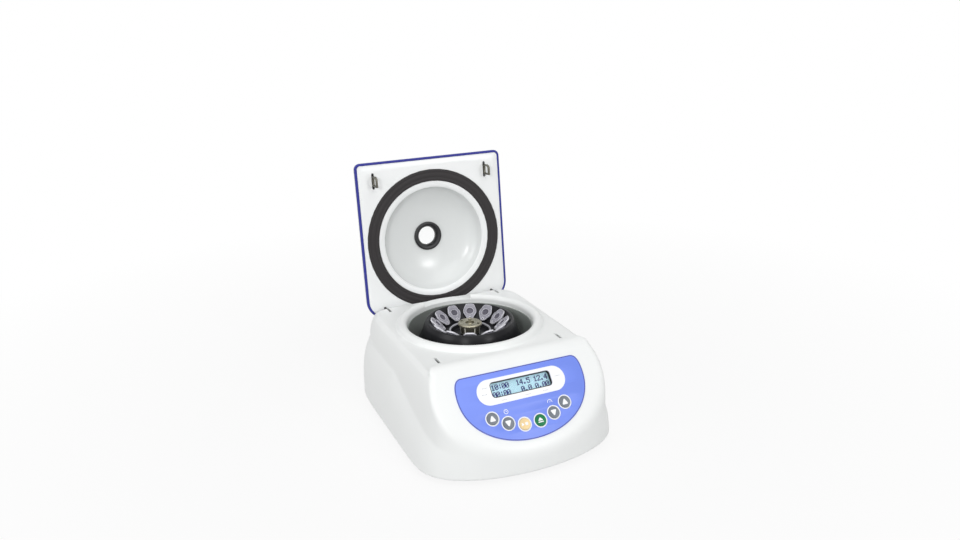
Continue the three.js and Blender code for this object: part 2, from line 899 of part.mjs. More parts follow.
// Motor, its plate and the rubber dampers under the plate
function motor() {
  const top = -motorTop - fit / 3;
  const can = turned(
    [
      [0, -motorBottom],
      [motorRadius - motorFinDepth, -motorBottom],
      [motorRadius, -motorBottom + motorFinDepth],
      [motorRadius, top - motorFinDepth],
      [motorRadius - motorFinDepth, top],
      [0, top],
    ],
    rotorSteps,
  );
  const low = -motorBottom + motorFinWidth;
  const high = top - motorFinWidth;
  const cuts = Array.from({ length: motorFins }, (_, i) => {
    const half = motorFinWidth / 2;
    const slot = block(motorRadius - motorFinDepth, motorRadius + overrun, -half, half, low, high);
    return solid(slot.rotateZ(((i + 0.5) / motorFins) * 2 * Math.PI));
  });
  const bore = rod(shaftRadius + shaftGap, -motorTop - shaftSeat - fit, overrun, 0, 0, rotorSteps / 2);
  return cut(solid(can), ...cuts, solid(bore));
}

function motorPlate() {
  const z0 = -motorTop;
  const z1 = -motorTop + motorPlateThickness;
  const disc = solid(rod(motorPlateRadius, z0, z1, 0, 0, ringSteps / 2));
  const inner = motorRadius * 0.3;
  const reach = (motorRadius + motorPlateRadius) / 2;
  const windows = damperAngles.map((angle) => {
    const turn = angle + Math.PI / damperCount;
    const [x, y] = [reach * Math.cos(turn), reach * Math.sin(turn)];
    return solid(rod(damperRadius, z0 - overrun, z1 + overrun, x, y));
  });
  return cut(disc, solid(rod(inner, z0 - overrun, z1 + overrun)), ...windows);
}

function dampers() {
  const top = -motorTop;
  const profile = [
    [0, top - damperHeight],
    [damperRadius, top - damperHeight],
    [damperRadius, top - damperHeight * 0.75],
    [damperWaist, top - damperHeight / 2],
    [damperRadius, top - damperHeight * 0.25],
    [damperRadius, top],
    [0, top],
  ];
  return damperAngles.map((angle, i) => {
    const [x, y] = [damperCircle * Math.cos(angle), damperCircle * Math.sin(angle)];
    return mesh(`motor_damper_${i + 1}`, turned(profile, smallSteps).translate(x, y, 0), blackRubber);
  });
}

// Latch bar with two tongues and the solenoid that slides it
const railFront = -loopMiddle - loopWidth / 2 - slotGap - fit;
const railBack = railFront - latchRailWidth;
const latchLow = linerZ - loopReach + loopBar + fit;
const plungerY = railBack - fit - solenoidHalf;
const plungerZ = -wall - solenoidHalf;

function latchBar() {
  const low = latchLow - latchRailHeight / 2;
  const high = latchLow + latchTongueHeight;
  const top = -wall - fit / 3;
  const tongueBack = -loopMiddle + latchTongueWidth / 2;
  const tongueFront = tongueBack - latchTongueWidth;
  const tips = [-1, 1].map((side) => side * loopSide - loopThickness / 2 - latchRest);
  const armEnds = tips.map((tip) => tip - latchTongueLength);
  const rail = solid(block(armEnds[0] - latchRailWidth, armEnds[1], railBack, railFront, low, top));
  const tongues = tips.map((tip, i) => {
    const end = armEnds[i];
    const arm = solid(block(end - latchRailWidth, end, railFront - fit, tongueBack, low, high));
    return arm.add(solid(block(end - fit, tip, tongueFront, tongueBack, latchLow, high)));
  });
  const half = latchRailWidth / 2;
  const drop = solid(block(-half, half, plungerY - latchRodRadius, railBack + fit, plungerZ - latchRodRadius, low + fit));
  const plunger = rod(latchRodRadius, 0, latchRodLength).rotateY(-Math.PI / 2);
  return joined(rail, ...tongues, drop, solid(plunger.translate(0, plungerY, plungerZ)));
}

function solenoid() {
  const x1 = -latchRailWidth / 2 - latchTravel - fit;
  const h = solenoidHalf;
  const body = block(x1 - solenoidLength, x1, plungerY - h, plungerY + h, plungerZ - h, plungerZ + h);
  const bore = rod(latchRodRadius + fit, 0, solenoidLength + overrun).rotateY(-Math.PI / 2);
  return cut(solid(body), solid(bore.translate(x1 + overrun - fit, plungerY, plungerZ)));
}

// Hinge blocks under the deck and the pins through them
function hingeBlock(side) {
  const x = side * hingeSide;
  const y0 = hingeSlotFront - hingeBlockWall;
  const low = -hingeSlotDepth - hingeBlockWall;
  const body = solid(block(x - hingeBlockHalf, x + hingeBlockHalf, y0, hingeBlockBack, low, -wall));
  const half = hingeSlotWidth / 2;
  const slot = solid(block(x - half, x + half, hingeSlotFront, hingeBlockBack + overrun, -hingeSlotDepth, overrun));
  const reach = hingeBlockHalf + overrun;
  const hole = rod(hingePin + hingePinSeat, -reach, reach).rotateY(Math.PI / 2);
  return cut(body, slot, solid(hole.translate(x, pivotBack, -pivotDrop)));
}

function hingePinAt(side) {
  const pin = rod(hingePin, -hingePinHalf, hingePinHalf).rotateY(Math.PI / 2);
  return pin.translate(side * hingeSide, pivotBack, -pivotDrop);
}

// Keypad overlay, display and board, drawn flat and then laid on the panel
function overlay() {
  const shape = new THREE.Shape();
  const w = overlayHalfWidth;
  shape.moveTo(0, -overlayBottom);
  shape.bezierCurveTo(overlayBelly, -overlayBottom, w, -overlayDip, w, overlayShoulder);
  shape.quadraticCurveTo(w, overlayTop, w - overlayCorner, overlayTop);
  shape.lineTo(-w + overlayCorner, overlayTop);
  shape.quadraticCurveTo(-w, overlayTop, -w, overlayShoulder);
  shape.bezierCurveTo(-w, -overlayDip, -overlayBelly, -overlayBottom, 0, -overlayBottom);
  const face = solid(slab(shape, 0, overlayThickness, outlineSteps * 2));
  const holes = keys.map(([, x, drop]) => solid(rod(keyRadius + keyGap, -overrun, overrun, x, -drop)));
  return cut(face, solid(slab(displayOutline(fit), -overrun, overrun, outlineSteps)), ...holes);
}

function bezel() {
  const frame = solid(slab(displayOutline(0), -wall, overlayThickness, outlineSteps));
  return frame.subtract(solid(slab(displayOutline(-bezelWidth), -wall - overrun, overrun, outlineSteps)));
}

function displayPlate(z0, z1) {
  const half = displayHalfWidth + windowMargin;
  return block(-half, half, displayBottom - windowMargin, displayTop + windowMargin / 2, z0, z1);
}

function board() {
  const top = -boardDepth;
  const plate = solid(block(-boardHalfWidth, boardHalfWidth, -boardBottom, boardTop, top - boardThickness, top));
  const switches = keys.map(([, x, drop]) => {
    return solid(block(x - switchHalf, x + switchHalf, -drop - switchHalf, -drop + switchHalf, top - fit, top + switchHeight));
  });
  return joined(plate, ...switches);
}

function keyCap() {
  const underside = -wall - fit;
  const flangeLow = underside - keyFlangeThickness;
  const profile = [
    [0, -boardDepth + switchHeight + keyTravel + fit],
    [keyStem, -boardDepth + switchHeight + keyTravel + fit],
    [keyStem, flangeLow],
    [keyRadius + keyFlange, flangeLow],
    [keyRadius + keyFlange, underside],
    [keyRadius, underside],
    [keyRadius, overlayThickness + keyRise / 2],
    [keyRadius - keyRise / 2, overlayThickness + keyRise],
    [0, overlayThickness + keyRise],
  ];
  return turned(profile, smallSteps);
}

function panelPieces() {
  const flat = [
    mesh('keypad_overlay', overlay(), blueOverlay),
    mesh('display_bezel', bezel(), blackPlastic),
    mesh('display_window', displayPlate(-wall - fit - windowThickness, -wall - fit), clearPlastic),
    mesh('display_module', displayPlate(-boardDepth, -wall - fit * 2 - windowThickness), displayCyan),
    mesh('control_board', board(), boardGreen),
    ...keys.map(([name, x, drop, look]) => mesh(name, keyCap().translate(x, -drop, 0), look)),
  ];
  return flat.map((node) => onPanel(node));
}

// Power inlet and rocker switch in the back wall
function inlet() {
  const y1 = housingBack + fit / 3;
  const x = inletSide;
  const w = inletHalfWidth;
  const h = inletHalfHeight;
  const body = solid(block(x - w, x + w, y1 - inletDepth, y1 + fit, -inletDrop - h, -inletDrop + h));
  const flangeBox = block(
    x - w - inletFlange, x + w + inletFlange, y1, y1 + inletFlangeThickness,
    -inletDrop - h - inletFlange, -inletDrop + h + inletFlange,
  );
  const socketLow = y1 + inletFlangeThickness - inletSocketDepth;
  const sw = w - inletSocketWall;
  const sh = h - inletSocketWall;
  const socket = block(x - sw, x + sw, socketLow, y1 + overrun, -inletDrop - sh, -inletDrop + sh);
  const pins = [-1, 0, 1].map((i) => {
    const pin = rod(inletPinRadius, 0, inletSocketDepth, 0, 0, smallSteps / 2).rotateX(-Math.PI / 2);
    return solid(pin.translate(x + i * inletPinSpread, socketLow - fit, -inletDrop + (1 - Math.abs(i)) * inletPinSpread / 2));
  });
  return joined(cut(body.add(solid(flangeBox)), solid(socket)), ...pins);
}

function switchFrame() {
  const y1 = housingBack + fit / 3;
  const x = switchSide;
  const w = rockerHalfWidth;
  const h = rockerHalfHeight;
  const body = solid(block(x - w, x + w, y1 - rockerDepth, y1 + fit, -inletDrop - h, -inletDrop + h));
  const edge = rockerFrame / 2;
  const frame = solid(block(x - w - edge, x + w + edge, y1, y1 + inletFlangeThickness / 2, -inletDrop - h - edge, -inletDrop + h + edge));
  const iw = w - rockerFrame / 2;
  const ih = h - rockerFrame / 2;
  const well = solid(block(x - iw, x + iw, y1 - rockerDepth + rockerFrame, y1 + overrun, -inletDrop - ih, -inletDrop + ih));
  return cut(body.add(frame), well);
}

function rocker() {
  const halfWidth = rockerHalfWidth - rockerFrame / 2 - fit;
  const halfHeight = rockerHalfHeight - rockerFrame / 2 - fit * 2;
  const shape = new THREE.Shape();
  const lift = halfHeight * Math.tan(rockerAngle / 2);
  shape.moveTo(-rockerThickness, -halfHeight / 2);
  shape.lineTo(rockerRise + lift, -halfHeight);
  shape.lineTo(rockerRise, 0);
  shape.lineTo(rockerRise + lift, halfHeight);
  shape.lineTo(-rockerThickness, halfHeight / 2);
  const bar = slab(shape, -halfWidth, halfWidth).rotateY(Math.PI / 2).rotateX(Math.PI / 2).rotateZ(Math.PI);
  return bar.rotateX(rockerAngle / 2).translate(switchSide, housingBack, -inletDrop);
}

// Lid, drawn closed
function lidOutline(inset) {
  const shape = new THREE.Shape();
  const w = lidHalfWidth - inset;
  const front = -lidFront + inset;
  const back = lidBack - inset;
  const fr = lidFrontCorner - inset;
  const br = lidBackCorner - inset;
  shape.moveTo(-w + fr, front);
  shape.lineTo(w - fr, front);
  shape.absarc(w - fr, front + fr, fr, -Math.PI / 2, 0);
  shape.lineTo(w, back - br);
  shape.absarc(w - br, back - br, br, 0, Math.PI / 2);
  shape.lineTo(-w + br, back);
  shape.absarc(-w + br, back - br, br, Math.PI / 2, Math.PI);
  shape.lineTo(-w, front + fr);
  shape.absarc(-w + fr, front + fr, fr, Math.PI, 1.5 * Math.PI);
  return shape;
}

function lidRing(share, inset, z) {
  const points = lidOutline(inset).getPoints(outlineSteps + 1).slice(0, -1);
  const middle = (lidBack - lidFront) / 2;
  return points.map((p) => new THREE.Vector3(p.x * share, middle + (p.y - middle) * share, z));
}

const crownShares = [1, 0.985, 0.95, 0.88, 0.76, 0.58, 0.3];

function crown(inset) {
  const base = lidLift + trimHeight + fit / 3;
  const rise = lidCrown - base - inset;
  const rings = crownShares.map((share) => {
    const height = rise * (1 - share ** crownShoulderShare) ** crownRoundShare;
    return lidRing(share, inset, base + height);
  });
  if (inset > 0) rings.unshift(lidRing(1, inset, base - overrun));
  return solid(loft(rings));
}

function lidCover() {
  const port = solid(rod(portHole + portWall * 2, 0, lidCrown + overrun, 0, 0, ringSteps / 2));
  return crown(0).subtract(crown(lidWall)).subtract(port);
}

function lidTrim() {
  const low = lidLift;
  const high = lidLift + trimHeight;
  const ring = solid(slab(lidOutline(0), low, high, outlineSteps));
  return ring.subtract(solid(slab(lidOutline(trimWidth), low - overrun, high + overrun, outlineSteps)));
}

function domeProfile(grow) {
  const depth = domeDepth - domeRimDepth;
  const points = [[domeMouth + grow, 0], [domeMouth - (domeMouth - domeRim) * 0.6 + grow, domeRimDepth / 4]];
  points.push([domeRim + grow, domeRimDepth]);
  for (let i = 1; i <= outlineSteps; i += 1) {
    const share = i / outlineSteps;
    const radius = domeRim + grow + (portRadius - fit - domeRim - grow) * share;
    points.push([radius, domeRimDepth + (depth + grow) * Math.sin((share * Math.PI) / 2) ** 0.8]);
  }
  return points.map(([r, d]) => [r, linerZ + d]);
}

function lidLiner() {
  const plate = solid(slab(lidOutline(linerInset), linerZ, linerZ + linerThickness, outlineSteps));
  const bedTop = linerZ + gasketDepth + gasketBed - gasketGap;
  const bed = solid(turnedRing(
    [
      [domeRim, linerZ],
      [lidBack - linerInset - fit * 2, linerZ],
      [lidBack - linerInset - fit * 2, bedTop],
      [domeRim, bedTop],
    ],
    ringSteps,
  ));
  const top = linerZ + domeDepth + domeThickness;
  const shellProfile = [[0, linerZ], ...domeProfile(domeThickness), [portRadius - fit, top], [0, top]];
  const shell = solid(turned(shellProfile, ringSteps));
  const hollow = solid(turned([[0, linerZ - overrun], [domeMouth, linerZ - overrun], ...domeProfile(0), [portRadius - fit, top + overrun], [0, top + overrun]], ringSteps));
  const groove = solid(turnedRing(
    [
      [gasketInner - fit / 2, linerZ - overrun],
      [gasketOuter + fit / 2, linerZ - overrun],
      [gasketOuter + fit / 2, gasketZ + gasketDepth],
      [gasketInner - fit / 2, gasketZ + gasketDepth],
    ],
    ringSteps,
  ));
  const loops = [-1, 1].map((side) => {
    const halfLength = linerSlotLength / 2;
    const halfWidth = linerSlotWidth / 2;
    const x = side * loopSide;
    const y = -loopMiddle;
    return solid(block(x - halfWidth, x + halfWidth, y - halfLength, y + halfLength, 0, bedTop + overrun));
  });
  const arms = [-1, 1].map((side) => {
    const half = hingeSlotWidth / 2;
    const x = side * hingeSide;
    const y0 = pivotBack - hingeArmWidth / 2 - slotGap;
    return solid(block(x - half, x + half, y0, lidBack - linerInset + overrun, 0, bedTop + overrun));
  });
  return cut(joined(plate, bed, shell), hollow, groove, ...loops, ...arms);
}

function lidGasket() {
  const top = gasketZ + gasketDepth;
  const edge = gasketDepth / 4;
  return turnedRing(
    [
      [gasketInner, top],
      [gasketInner, gasketZ + edge],
      [gasketInner + edge, gasketZ],
      [gasketOuter - edge, gasketZ],
      [gasketOuter, gasketZ + edge],
      [gasketOuter, top],
    ],
    ringSteps,
  );
}

function portGrommet() {
  const face = linerZ + domeDepth - portWall;
  const bottom = linerZ + domeDepth + domeThickness + fit / 3;
  const seat = linerZ + portDepth;
  return turnedRing(
    [
      [portRadius, face],
      [portRadius - portWall, face - portWall / 2],
      [portHole + portWall, face],
      [portHole, face + portWall],
      [portHole, seat - fit],
      [portHole + portWall, seat - fit],
      [portHole + portWall, bottom],
      [portRadius - fit * 2, bottom],
      [portRadius - fit * 2, face + fit],
      [portRadius, face + fit],
    ],
    ringSteps / 2,
  );
}

function sightWindow() {
  const seat = linerZ + portDepth;
  return rod(portHole + portWall, seat, seat + sightThickness, 0, 0, ringSteps / 2);
}

function plateWithFoot(outline, hole, thickness, footY0, footY1) {
  const half = thickness / 2;
  const sheet = new THREE.Shape(outline);
  if (hole) sheet.holes.push(new THREE.Path(hole));
  const blade = slab(sheet, -half, half).rotateY(Math.PI / 2).rotateX(Math.PI / 2);
  const low = linerZ + linerThickness + fit / 3;
  const back = low + footPlateThickness;
  return solid(blade).add(solid(block(-footPlateWidth / 2, footPlateWidth / 2, footY0, footY1, low, back)));
}

function outlinePoints(pairs) {
  return pairs.map(([y, z]) => new THREE.Vector2(y, z));
}

function latchLoop(side) {
  const half = loopWidth / 2;
  const y = -loopMiddle;
  const tip = linerZ - loopReach;
  const root = linerZ + linerThickness + footPlateThickness;
  const outline = [
    [y - half + loopChamfer, tip], [y + half, tip], [y + half, root], [y - half, root], [y - half, tip + loopChamfer],
  ];
  const inner = half - loopBar;
  const windowTop = linerZ - loopBar;
  const hole = [
    [y - inner + loopChamfer / 2, tip + loopBar], [y + inner, tip + loopBar], [y + inner, windowTop],
    [y - inner, windowTop], [y - inner, tip + loopBar + loopChamfer / 2],
  ];
  const plate = plateWithFoot(outlinePoints(outline), outlinePoints(hole), loopThickness, y - half, y + half);
  return plate.translate(side * loopSide, 0, 0);
}

function hingeArm(side) {
  const root = linerZ + linerThickness + footPlateThickness;
  const half = hingeArmWidth / 2;
  const y0 = pivotBack - half;
  const y1 = pivotBack + hingeEye;
  const turns = [];
  for (let i = 0; i <= 12; i += 1) {
    const angle = Math.PI + (i / 12) * Math.PI;
    turns.push([pivotBack + hingeEye * Math.cos(angle), -pivotDrop + hingeEye * Math.sin(angle)]);
  }
  const outline = outlinePoints([...turns, [y1, linerZ - hingeEye], [y1, root], [y0, root], [y0, linerZ - hingeEye]]);
  const hole = [];
  for (let i = 0; i < smallSteps; i += 1) {
    const angle = (i / smallSteps) * 2 * Math.PI;
    const radius = hingePin + hingePinGap;
    hole.push([pivotBack + radius * Math.cos(angle), -pivotDrop + radius * Math.sin(angle)]);
  }
  const plate = plateWithFoot(outline, outlinePoints(hole), hingeArmThickness, y0, pivotBack + half / 2);
  return plate.translate(side * hingeSide, 0, 0);
}

function lid() {
  const group = new THREE.Group();
  const closedPieces = new THREE.Group();
  closedPieces.add(
    mesh('lid_cover', lidCover(), whiteShell),
    mesh('lid_trim', lidTrim(), blueTrim),
    mesh('lid_liner', lidLiner(), whiteLiner),
    mesh('lid_gasket', lidGasket(), blackRubber),
    mesh('lid_port_grommet', portGrommet(), blackPlastic),
    mesh('lid_sight_window', sightWindow(), clearPlastic),
    mesh('latch_loop_left', latchLoop(-1), brightSteel),
    mesh('latch_loop_right', latchLoop(1), brightSteel),
    mesh('hinge_arm_left', hingeArm(-1), blackPlastic),
    mesh('hinge_arm_right', hingeArm(1), blackPlastic),
  );
  closedPieces.position.set(0, -pivotBack, pivotDrop);
  group.add(closedPieces);
  group.position.set(0, pivotBack, -pivotDrop);
  group.rotation.x = -lidOpenAngle;
  return group;
}

// Whole machine
function machine() {
  const group = new THREE.Group();
  group.add(
    mesh('housing', housing(), whiteShell),
    mesh('base_plate', basePlate(), motorGrey),
    ...feet(),
    mesh('chamber_bowl', bowl(), satinSteel),
    mesh('rotor', rotor(), rotorBlack),
    mesh('rotor_nut', rotorNut(), champagne),
    mesh('rotor_shaft', rotorShaft(), brightSteel),
    ...tubes(),
    mesh('motor', motor(), motorGrey),
    mesh('motor_plate', motorPlate(), satinSteel),
    ...dampers(),
    mesh('latch_bar', latchBar(), brightSteel),
    mesh('latch_solenoid', solenoid(), motorGrey),
    mesh('hinge_block_left', hingeBlock(-1), whiteLiner),
    mesh('hinge_block_right', hingeBlock(1), whiteLiner),
    mesh('hinge_pin_left', hingePinAt(-1), brightSteel),
    mesh('hinge_pin_right', hingePinAt(1), brightSteel),
    ...panelPieces(),
    mesh('power_inlet', inlet(), blackPlastic),
    mesh('switch_frame', switchFrame(), blackPlastic),
    mesh('switch_rocker', rocker(), blackPlastic),
    lid(),
  );
  return group;
}

// Standing on its feet, with the origin under the middle of its box
const group = new THREE.Group();
const body = machine();
group.add(body);
const size = new THREE.Box3().setFromObject(body, true);
const middle = size.getCenter(new THREE.Vector3());
body.position.set(-middle.x, -middle.y, -size.min.z);

export default group;
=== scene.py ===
"""Looks of a small bench centrifuge with its lid standing open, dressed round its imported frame.

Shapes are drawn in millimetres in the machine's own frame: the rotor's axis is at X = Y = 0 and the deck at
Z = 0. They are laid in the row frame, in metres, when they are settled on a body.
"""

import sys
import logging
import math
from dataclasses import dataclass, field
from enum import Enum
from functools import cache
from typing import Iterable, Sequence

import bmesh
import bpy
import numpy as np
from mathutils import Matrix, Vector
from mathutils.geometry import tessellate_polygon


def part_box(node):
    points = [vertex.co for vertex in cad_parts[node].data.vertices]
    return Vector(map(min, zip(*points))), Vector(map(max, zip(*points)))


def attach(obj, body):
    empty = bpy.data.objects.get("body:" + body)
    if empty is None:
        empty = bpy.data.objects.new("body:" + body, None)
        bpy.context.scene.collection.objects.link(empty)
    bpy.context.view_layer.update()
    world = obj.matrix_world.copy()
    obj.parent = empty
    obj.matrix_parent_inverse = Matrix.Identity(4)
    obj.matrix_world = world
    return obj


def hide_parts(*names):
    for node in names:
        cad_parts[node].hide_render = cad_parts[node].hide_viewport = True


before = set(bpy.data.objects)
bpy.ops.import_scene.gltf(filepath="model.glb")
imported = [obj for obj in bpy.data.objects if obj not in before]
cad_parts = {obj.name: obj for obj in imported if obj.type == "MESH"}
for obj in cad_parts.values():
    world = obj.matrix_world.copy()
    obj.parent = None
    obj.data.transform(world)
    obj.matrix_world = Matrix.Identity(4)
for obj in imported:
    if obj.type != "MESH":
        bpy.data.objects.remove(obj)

LOG = logging.getLogger("centrifuge")
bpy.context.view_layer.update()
MM = 0.001
BOWL_LOW, BOWL_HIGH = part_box("chamber_bowl")
BOWL_TOP = 3.0
DECK = Vector(((BOWL_LOW.x + BOWL_HIGH.x) / 2, (BOWL_LOW.y + BOWL_HIGH.y) / 2, BOWL_HIGH.z + BOWL_TOP * MM))
TO_ROW = Matrix.Translation(DECK) @ Matrix.Scale(MM, 4)

LATCH_X = 61.9
HINGE_X = 61.4
STRAIGHT = math.radians(179)
SMOOTH = 32.0
SEARCH_REACH = 260.0
SEARCH_STEPS = 42
BUMP = 0.35

Pair = tuple[float, float]
Colour = tuple[float, float, float]


class Side(Enum):
    """Left and right of the machine, seen from its keypad."""

    LEFT = -1
    RIGHT = 1


class Symbol(Enum):
    """What is printed on a key."""

    UP = "up"
    DOWN = "down"
    RUN = "run"
    RELEASE = "release"


# Outlines and solids


def arc(centre: Pair, radius: float, start: float, end: float, steps: int) -> list[Pair]:
    """Points on an arc.

    Args:
        centre: The arc's centre.
        radius: Its radius.
        start: First angle in degrees.
        end: Last angle in degrees.
        steps: How many straight pieces it has.

    Returns:
        The points, both ends included.
    """
    angles = [math.radians(start + (end - start) * i / steps) for i in range(steps + 1)]
    return [(centre[0] + radius * math.cos(a), centre[1] + radius * math.sin(a)) for a in angles]


def circle(centre: Pair, radius: float, steps: int) -> list[Pair]:
    """Points round a circle."""
    return arc(centre, radius, 0, 360 - 360 / steps, steps - 1)


def rounded(points: Sequence[Sequence[float]], radius: float = 0.0, steps: int = 4, shut: bool = True) -> list[Pair]:
    """Rounds the corners of an outline or a profile.

    Args:
        points: Its corners, some with a third number, their own radius.
        radius: The radius of the other corners.
        steps: Straight pieces in each round.
        shut: Whether the outline closes on itself.

    Returns:
        The rounded outline.
    """
    count = len(points)
    out: list[Pair] = []
    for i, point in enumerate(points):
        here = Vector(point[:2])
        wanted = point[2] if len(point) > 2 else radius
        before = Vector(points[i - 1][:2]) - here
        after = Vector(points[(i + 1) % count][:2]) - here
        turn = before.angle(after, math.pi)
        if wanted <= 0 or turn > STRAIGHT or (not shut and i in (0, count - 1)):
            out.append((here.x, here.y))
            continue
        room = min(before.length, after.length) * 0.49
        reach = min(wanted / math.tan(turn / 2), room)
        size = reach * math.tan(turn / 2)
        first = here + before.normalized() * reach
        last = here + after.normalized() * reach
        middle = here + (before.normalized() + after.normalized()).normalized() * (size / math.sin(turn / 2))
        a, b = first - middle, last - middle
        spread = a.angle(b)
        for k in range(steps + 1):
            share = k / steps
            mix = (a * math.sin((1 - share) * spread) + b * math.sin(share * spread)) / math.sin(spread)
            out.append((middle.x + mix.x, middle.y + mix.y))
    return out


@dataclass
class Solid:
    """Corners in millimetres and the faces between them."""

    points: list[Vector] = field(default_factory=list)
    faces: list[tuple[int, ...]] = field(default_factory=list)

    def add(self, other: "Solid") -> "Solid":
        """Adds another solid's corners and faces to this one.

        Args:
            other: The other solid.

        Returns:
            This solid.
        """
        start = len(self.points)
        self.points.extend(other.points)
        self.faces.extend(tuple(i + start for i in face) for face in other.faces)
        return self

    def moved(self, place: Matrix) -> "Solid":
        """Gives a copy laid at a place."""
        return Solid([place @ p for p in self.points], list(self.faces))

    def at(self, x: float, y: float, z: float = 0.0) -> "Solid":
        """Gives a copy shifted by a distance."""
        return self.moved(Matrix.Translation((x, y, z)))


def lathe(profile: Sequence[Pair], steps: int = 96) -> Solid:
    """Turns a shut profile of (radius, height) round the Z axis.

    Args:
        profile: The profile's points, in order.
        steps: Facets round the axis.

    Returns:
        The turned solid.
    """
    solid = Solid()
    rings: list[list[int]] = []
    for radius, height in profile:
        start = len(solid.points)
        if radius < 1e-6:
            solid.points.append(Vector((0, 0, height)))
            rings.append([start] * steps)
            continue
        solid.points.extend(Vector((x, y, height)) for x, y in circle((0, 0), radius, steps))
        rings.append(list(range(start, start + steps)))
    for a, b in zip(rings, rings[1:] + rings[:1]):
        for i in range(steps):
            j = (i + 1) % steps
            face = tuple(dict.fromkeys((a[i], a[j], b[j], b[i])))
            if len(face) > 2:
                solid.faces.append(face)
    return solid


def band(low: int, high: int, size: int) -> list[tuple[int, ...]]:
    """Faces between two rings of corners, given the first corner of each."""
    return [(low + i, low + (i + 1) % size, high + (i + 1) % size, high + i) for i in range(size)]


def woven(rows: Sequence[Sequence[Vector]]) -> Solid:
    """Joins rings of equal length into a shell that closes on itself both ways.

    Args:
        rows: The rings' corners.

    Returns:
        The shell.
    """
    size = len(rows[0])
    solid = Solid([p for row in rows for p in row])
    for k in range(len(rows)):
        solid.faces += band(k * size, ((k + 1) % len(rows)) * size, size)
    return solid


def ring(radius: np.ndarray | float, angle: np.ndarray, height: np.ndarray | float) -> list[Vector]:
    """Corners round the Z axis, at their own distances, directions and heights."""
    places = zip(*np.broadcast_arrays(radius, angle, height))
    return [Vector((r * math.cos(a), r * math.sin(a), z)) for r, a, z in places]


def to_plane(distance: np.ndarray | float, along: np.ndarray) -> np.ndarray:
    """How far a plane is in directions that gain this much along its normal."""
    return distance / np.maximum(along, 1e-6)


def inset(outline: Sequence[Pair], distance: float) -> list[Pair]:
    """Moves an anticlockwise outline inwards by a distance, or outwards where it is negative.

    Args:
        outline: The outline.
        distance: How far it moves.

    Returns:
        The moved outline, with as many points.
    """
    out = []
    for i, point in enumerate(outline):
        here = Vector(point)
        before = here - Vector(outline[i - 1])
        after = Vector(outline[(i + 1) % len(outline)]) - here
        along = before.normalized() + after.normalized()
        along = along.normalized() if along.length > 1e-9 else after.normalized()
        square = Vector((-along.y, along.x))
        lean = max(square.dot(Vector((-after.y, after.x)).normalized()), 0.4)
        moved = here + square * (distance / lean)
        out.append((moved.x, moved.y))
    return out


def hull(points: Sequence[Pair]) -> list[Pair]:
    """The outline round a set of points, anticlockwise.

    Args:
        points: The points.

    Returns:
        Those of them that lie on the outline.
    """
    ordered = sorted(set((round(x, 6), round(y, 6)) for x, y in points))
    halves = []
    for run in (ordered, ordered[::-1]):
        chain: list[Pair] = []
        for p in run:
            while len(chain) > 1:
                (ax, ay), (bx, by) = chain[-2], chain[-1]
                if (bx - ax) * (p[1] - ay) - (by - ay) * (p[0] - ax) > 1e-9:
                    break
                chain.pop()
            chain.append(p)
        halves += chain[:-1]
    return halves


def turning(outline: Sequence[Pair]) -> float:
    """Twice the area inside an outline, positive where it runs anticlockwise."""
    return sum(a[0] * b[1] - b[0] * a[1] for a, b in zip(outline, [*outline[1:], outline[0]]))


def plate(outlines: Sequence[Sequence[Pair]], low: float, high: float, edge: float = 0.0, steps: int = 2) -> Solid:
    """A flat plate with softened edges.

    Args:
        outlines: Its outer outline, then its holes.
        low: Height of its underside.
        high: Height of its top.
        edge: Radius of its edges.
        steps: Straight pieces in each softened edge.

    Returns:
        The plate.
    """
    turns = np.linspace(0, math.pi / 2, steps + 1) if edge > 0 else [0.0]
    levels = [(edge * (1 - math.sin(a)), edge * (1 - math.cos(a))) for a in turns]
    stack = [(cut, low + rise) for cut, rise in levels] + [(cut, high - rise) for cut, rise in reversed(levels)]
    solid = Solid()
    bottoms: list[range] = []
    tops: list[range] = []
    for number, outline in enumerate(outlines):
        loop = outline if (turning(outline) > 0) == (number == 0) else outline[::-1]
        size, start = len(loop), len(solid.points)
        for cut, height in stack:
            solid.points.extend(Vector((x, y, height)) for x, y in inset(loop, cut))
        last = len(solid.points) - size
        for low_ring in range(start, last, size):
            solid.faces += band(low_ring, low_ring + size, size)
        bottoms.append(range(start, start + size))
        tops.append(range(last, last + size))
    for rings, flip in ((bottoms, True), (tops, False)):
        flat = [i for corners in rings for i in corners]
        for tri in tessellate_polygon([[solid.points[i] for i in corners] for corners in rings]):
            a, b, c = (flat[i] for i in tri)
            across = (solid.points[b] - solid.points[a]).cross(solid.points[c] - solid.points[a]).z
            solid.faces.append((a, c, b) if (across > 0) == flip else (a, b, c))
    return solid


def box_outline(x0: float, x1: float, y0: float, y1: float, radius: float, steps: int = 5) -> list[Pair]:
    """A rectangle's outline with rounded corners."""
    return rounded([(x0, y0), (x1, y0), (x1, y1), (x0, y1)], radius, steps)


def block(x0: float, x1: float, y0: float, y1: float, z0: float, z1: float, edge: float = 0.0) -> Solid:
    """A block with softened edges, its upright corners too."""
    return plate([box_outline(x0, x1, y0, y1, max(edge, 1e-3), 3 if edge else 1)], z0, z1, edge)


def rod(radius: float, z0: float, z1: float, edge: float = 0.0, steps: int = 32) -> Solid:
    """An upright rod with softened ends."""
    corners = [(0, z0), (radius, z0), (radius, z1), (0, z1)]
    return lathe(rounded(corners, edge, 3, shut=False), steps)


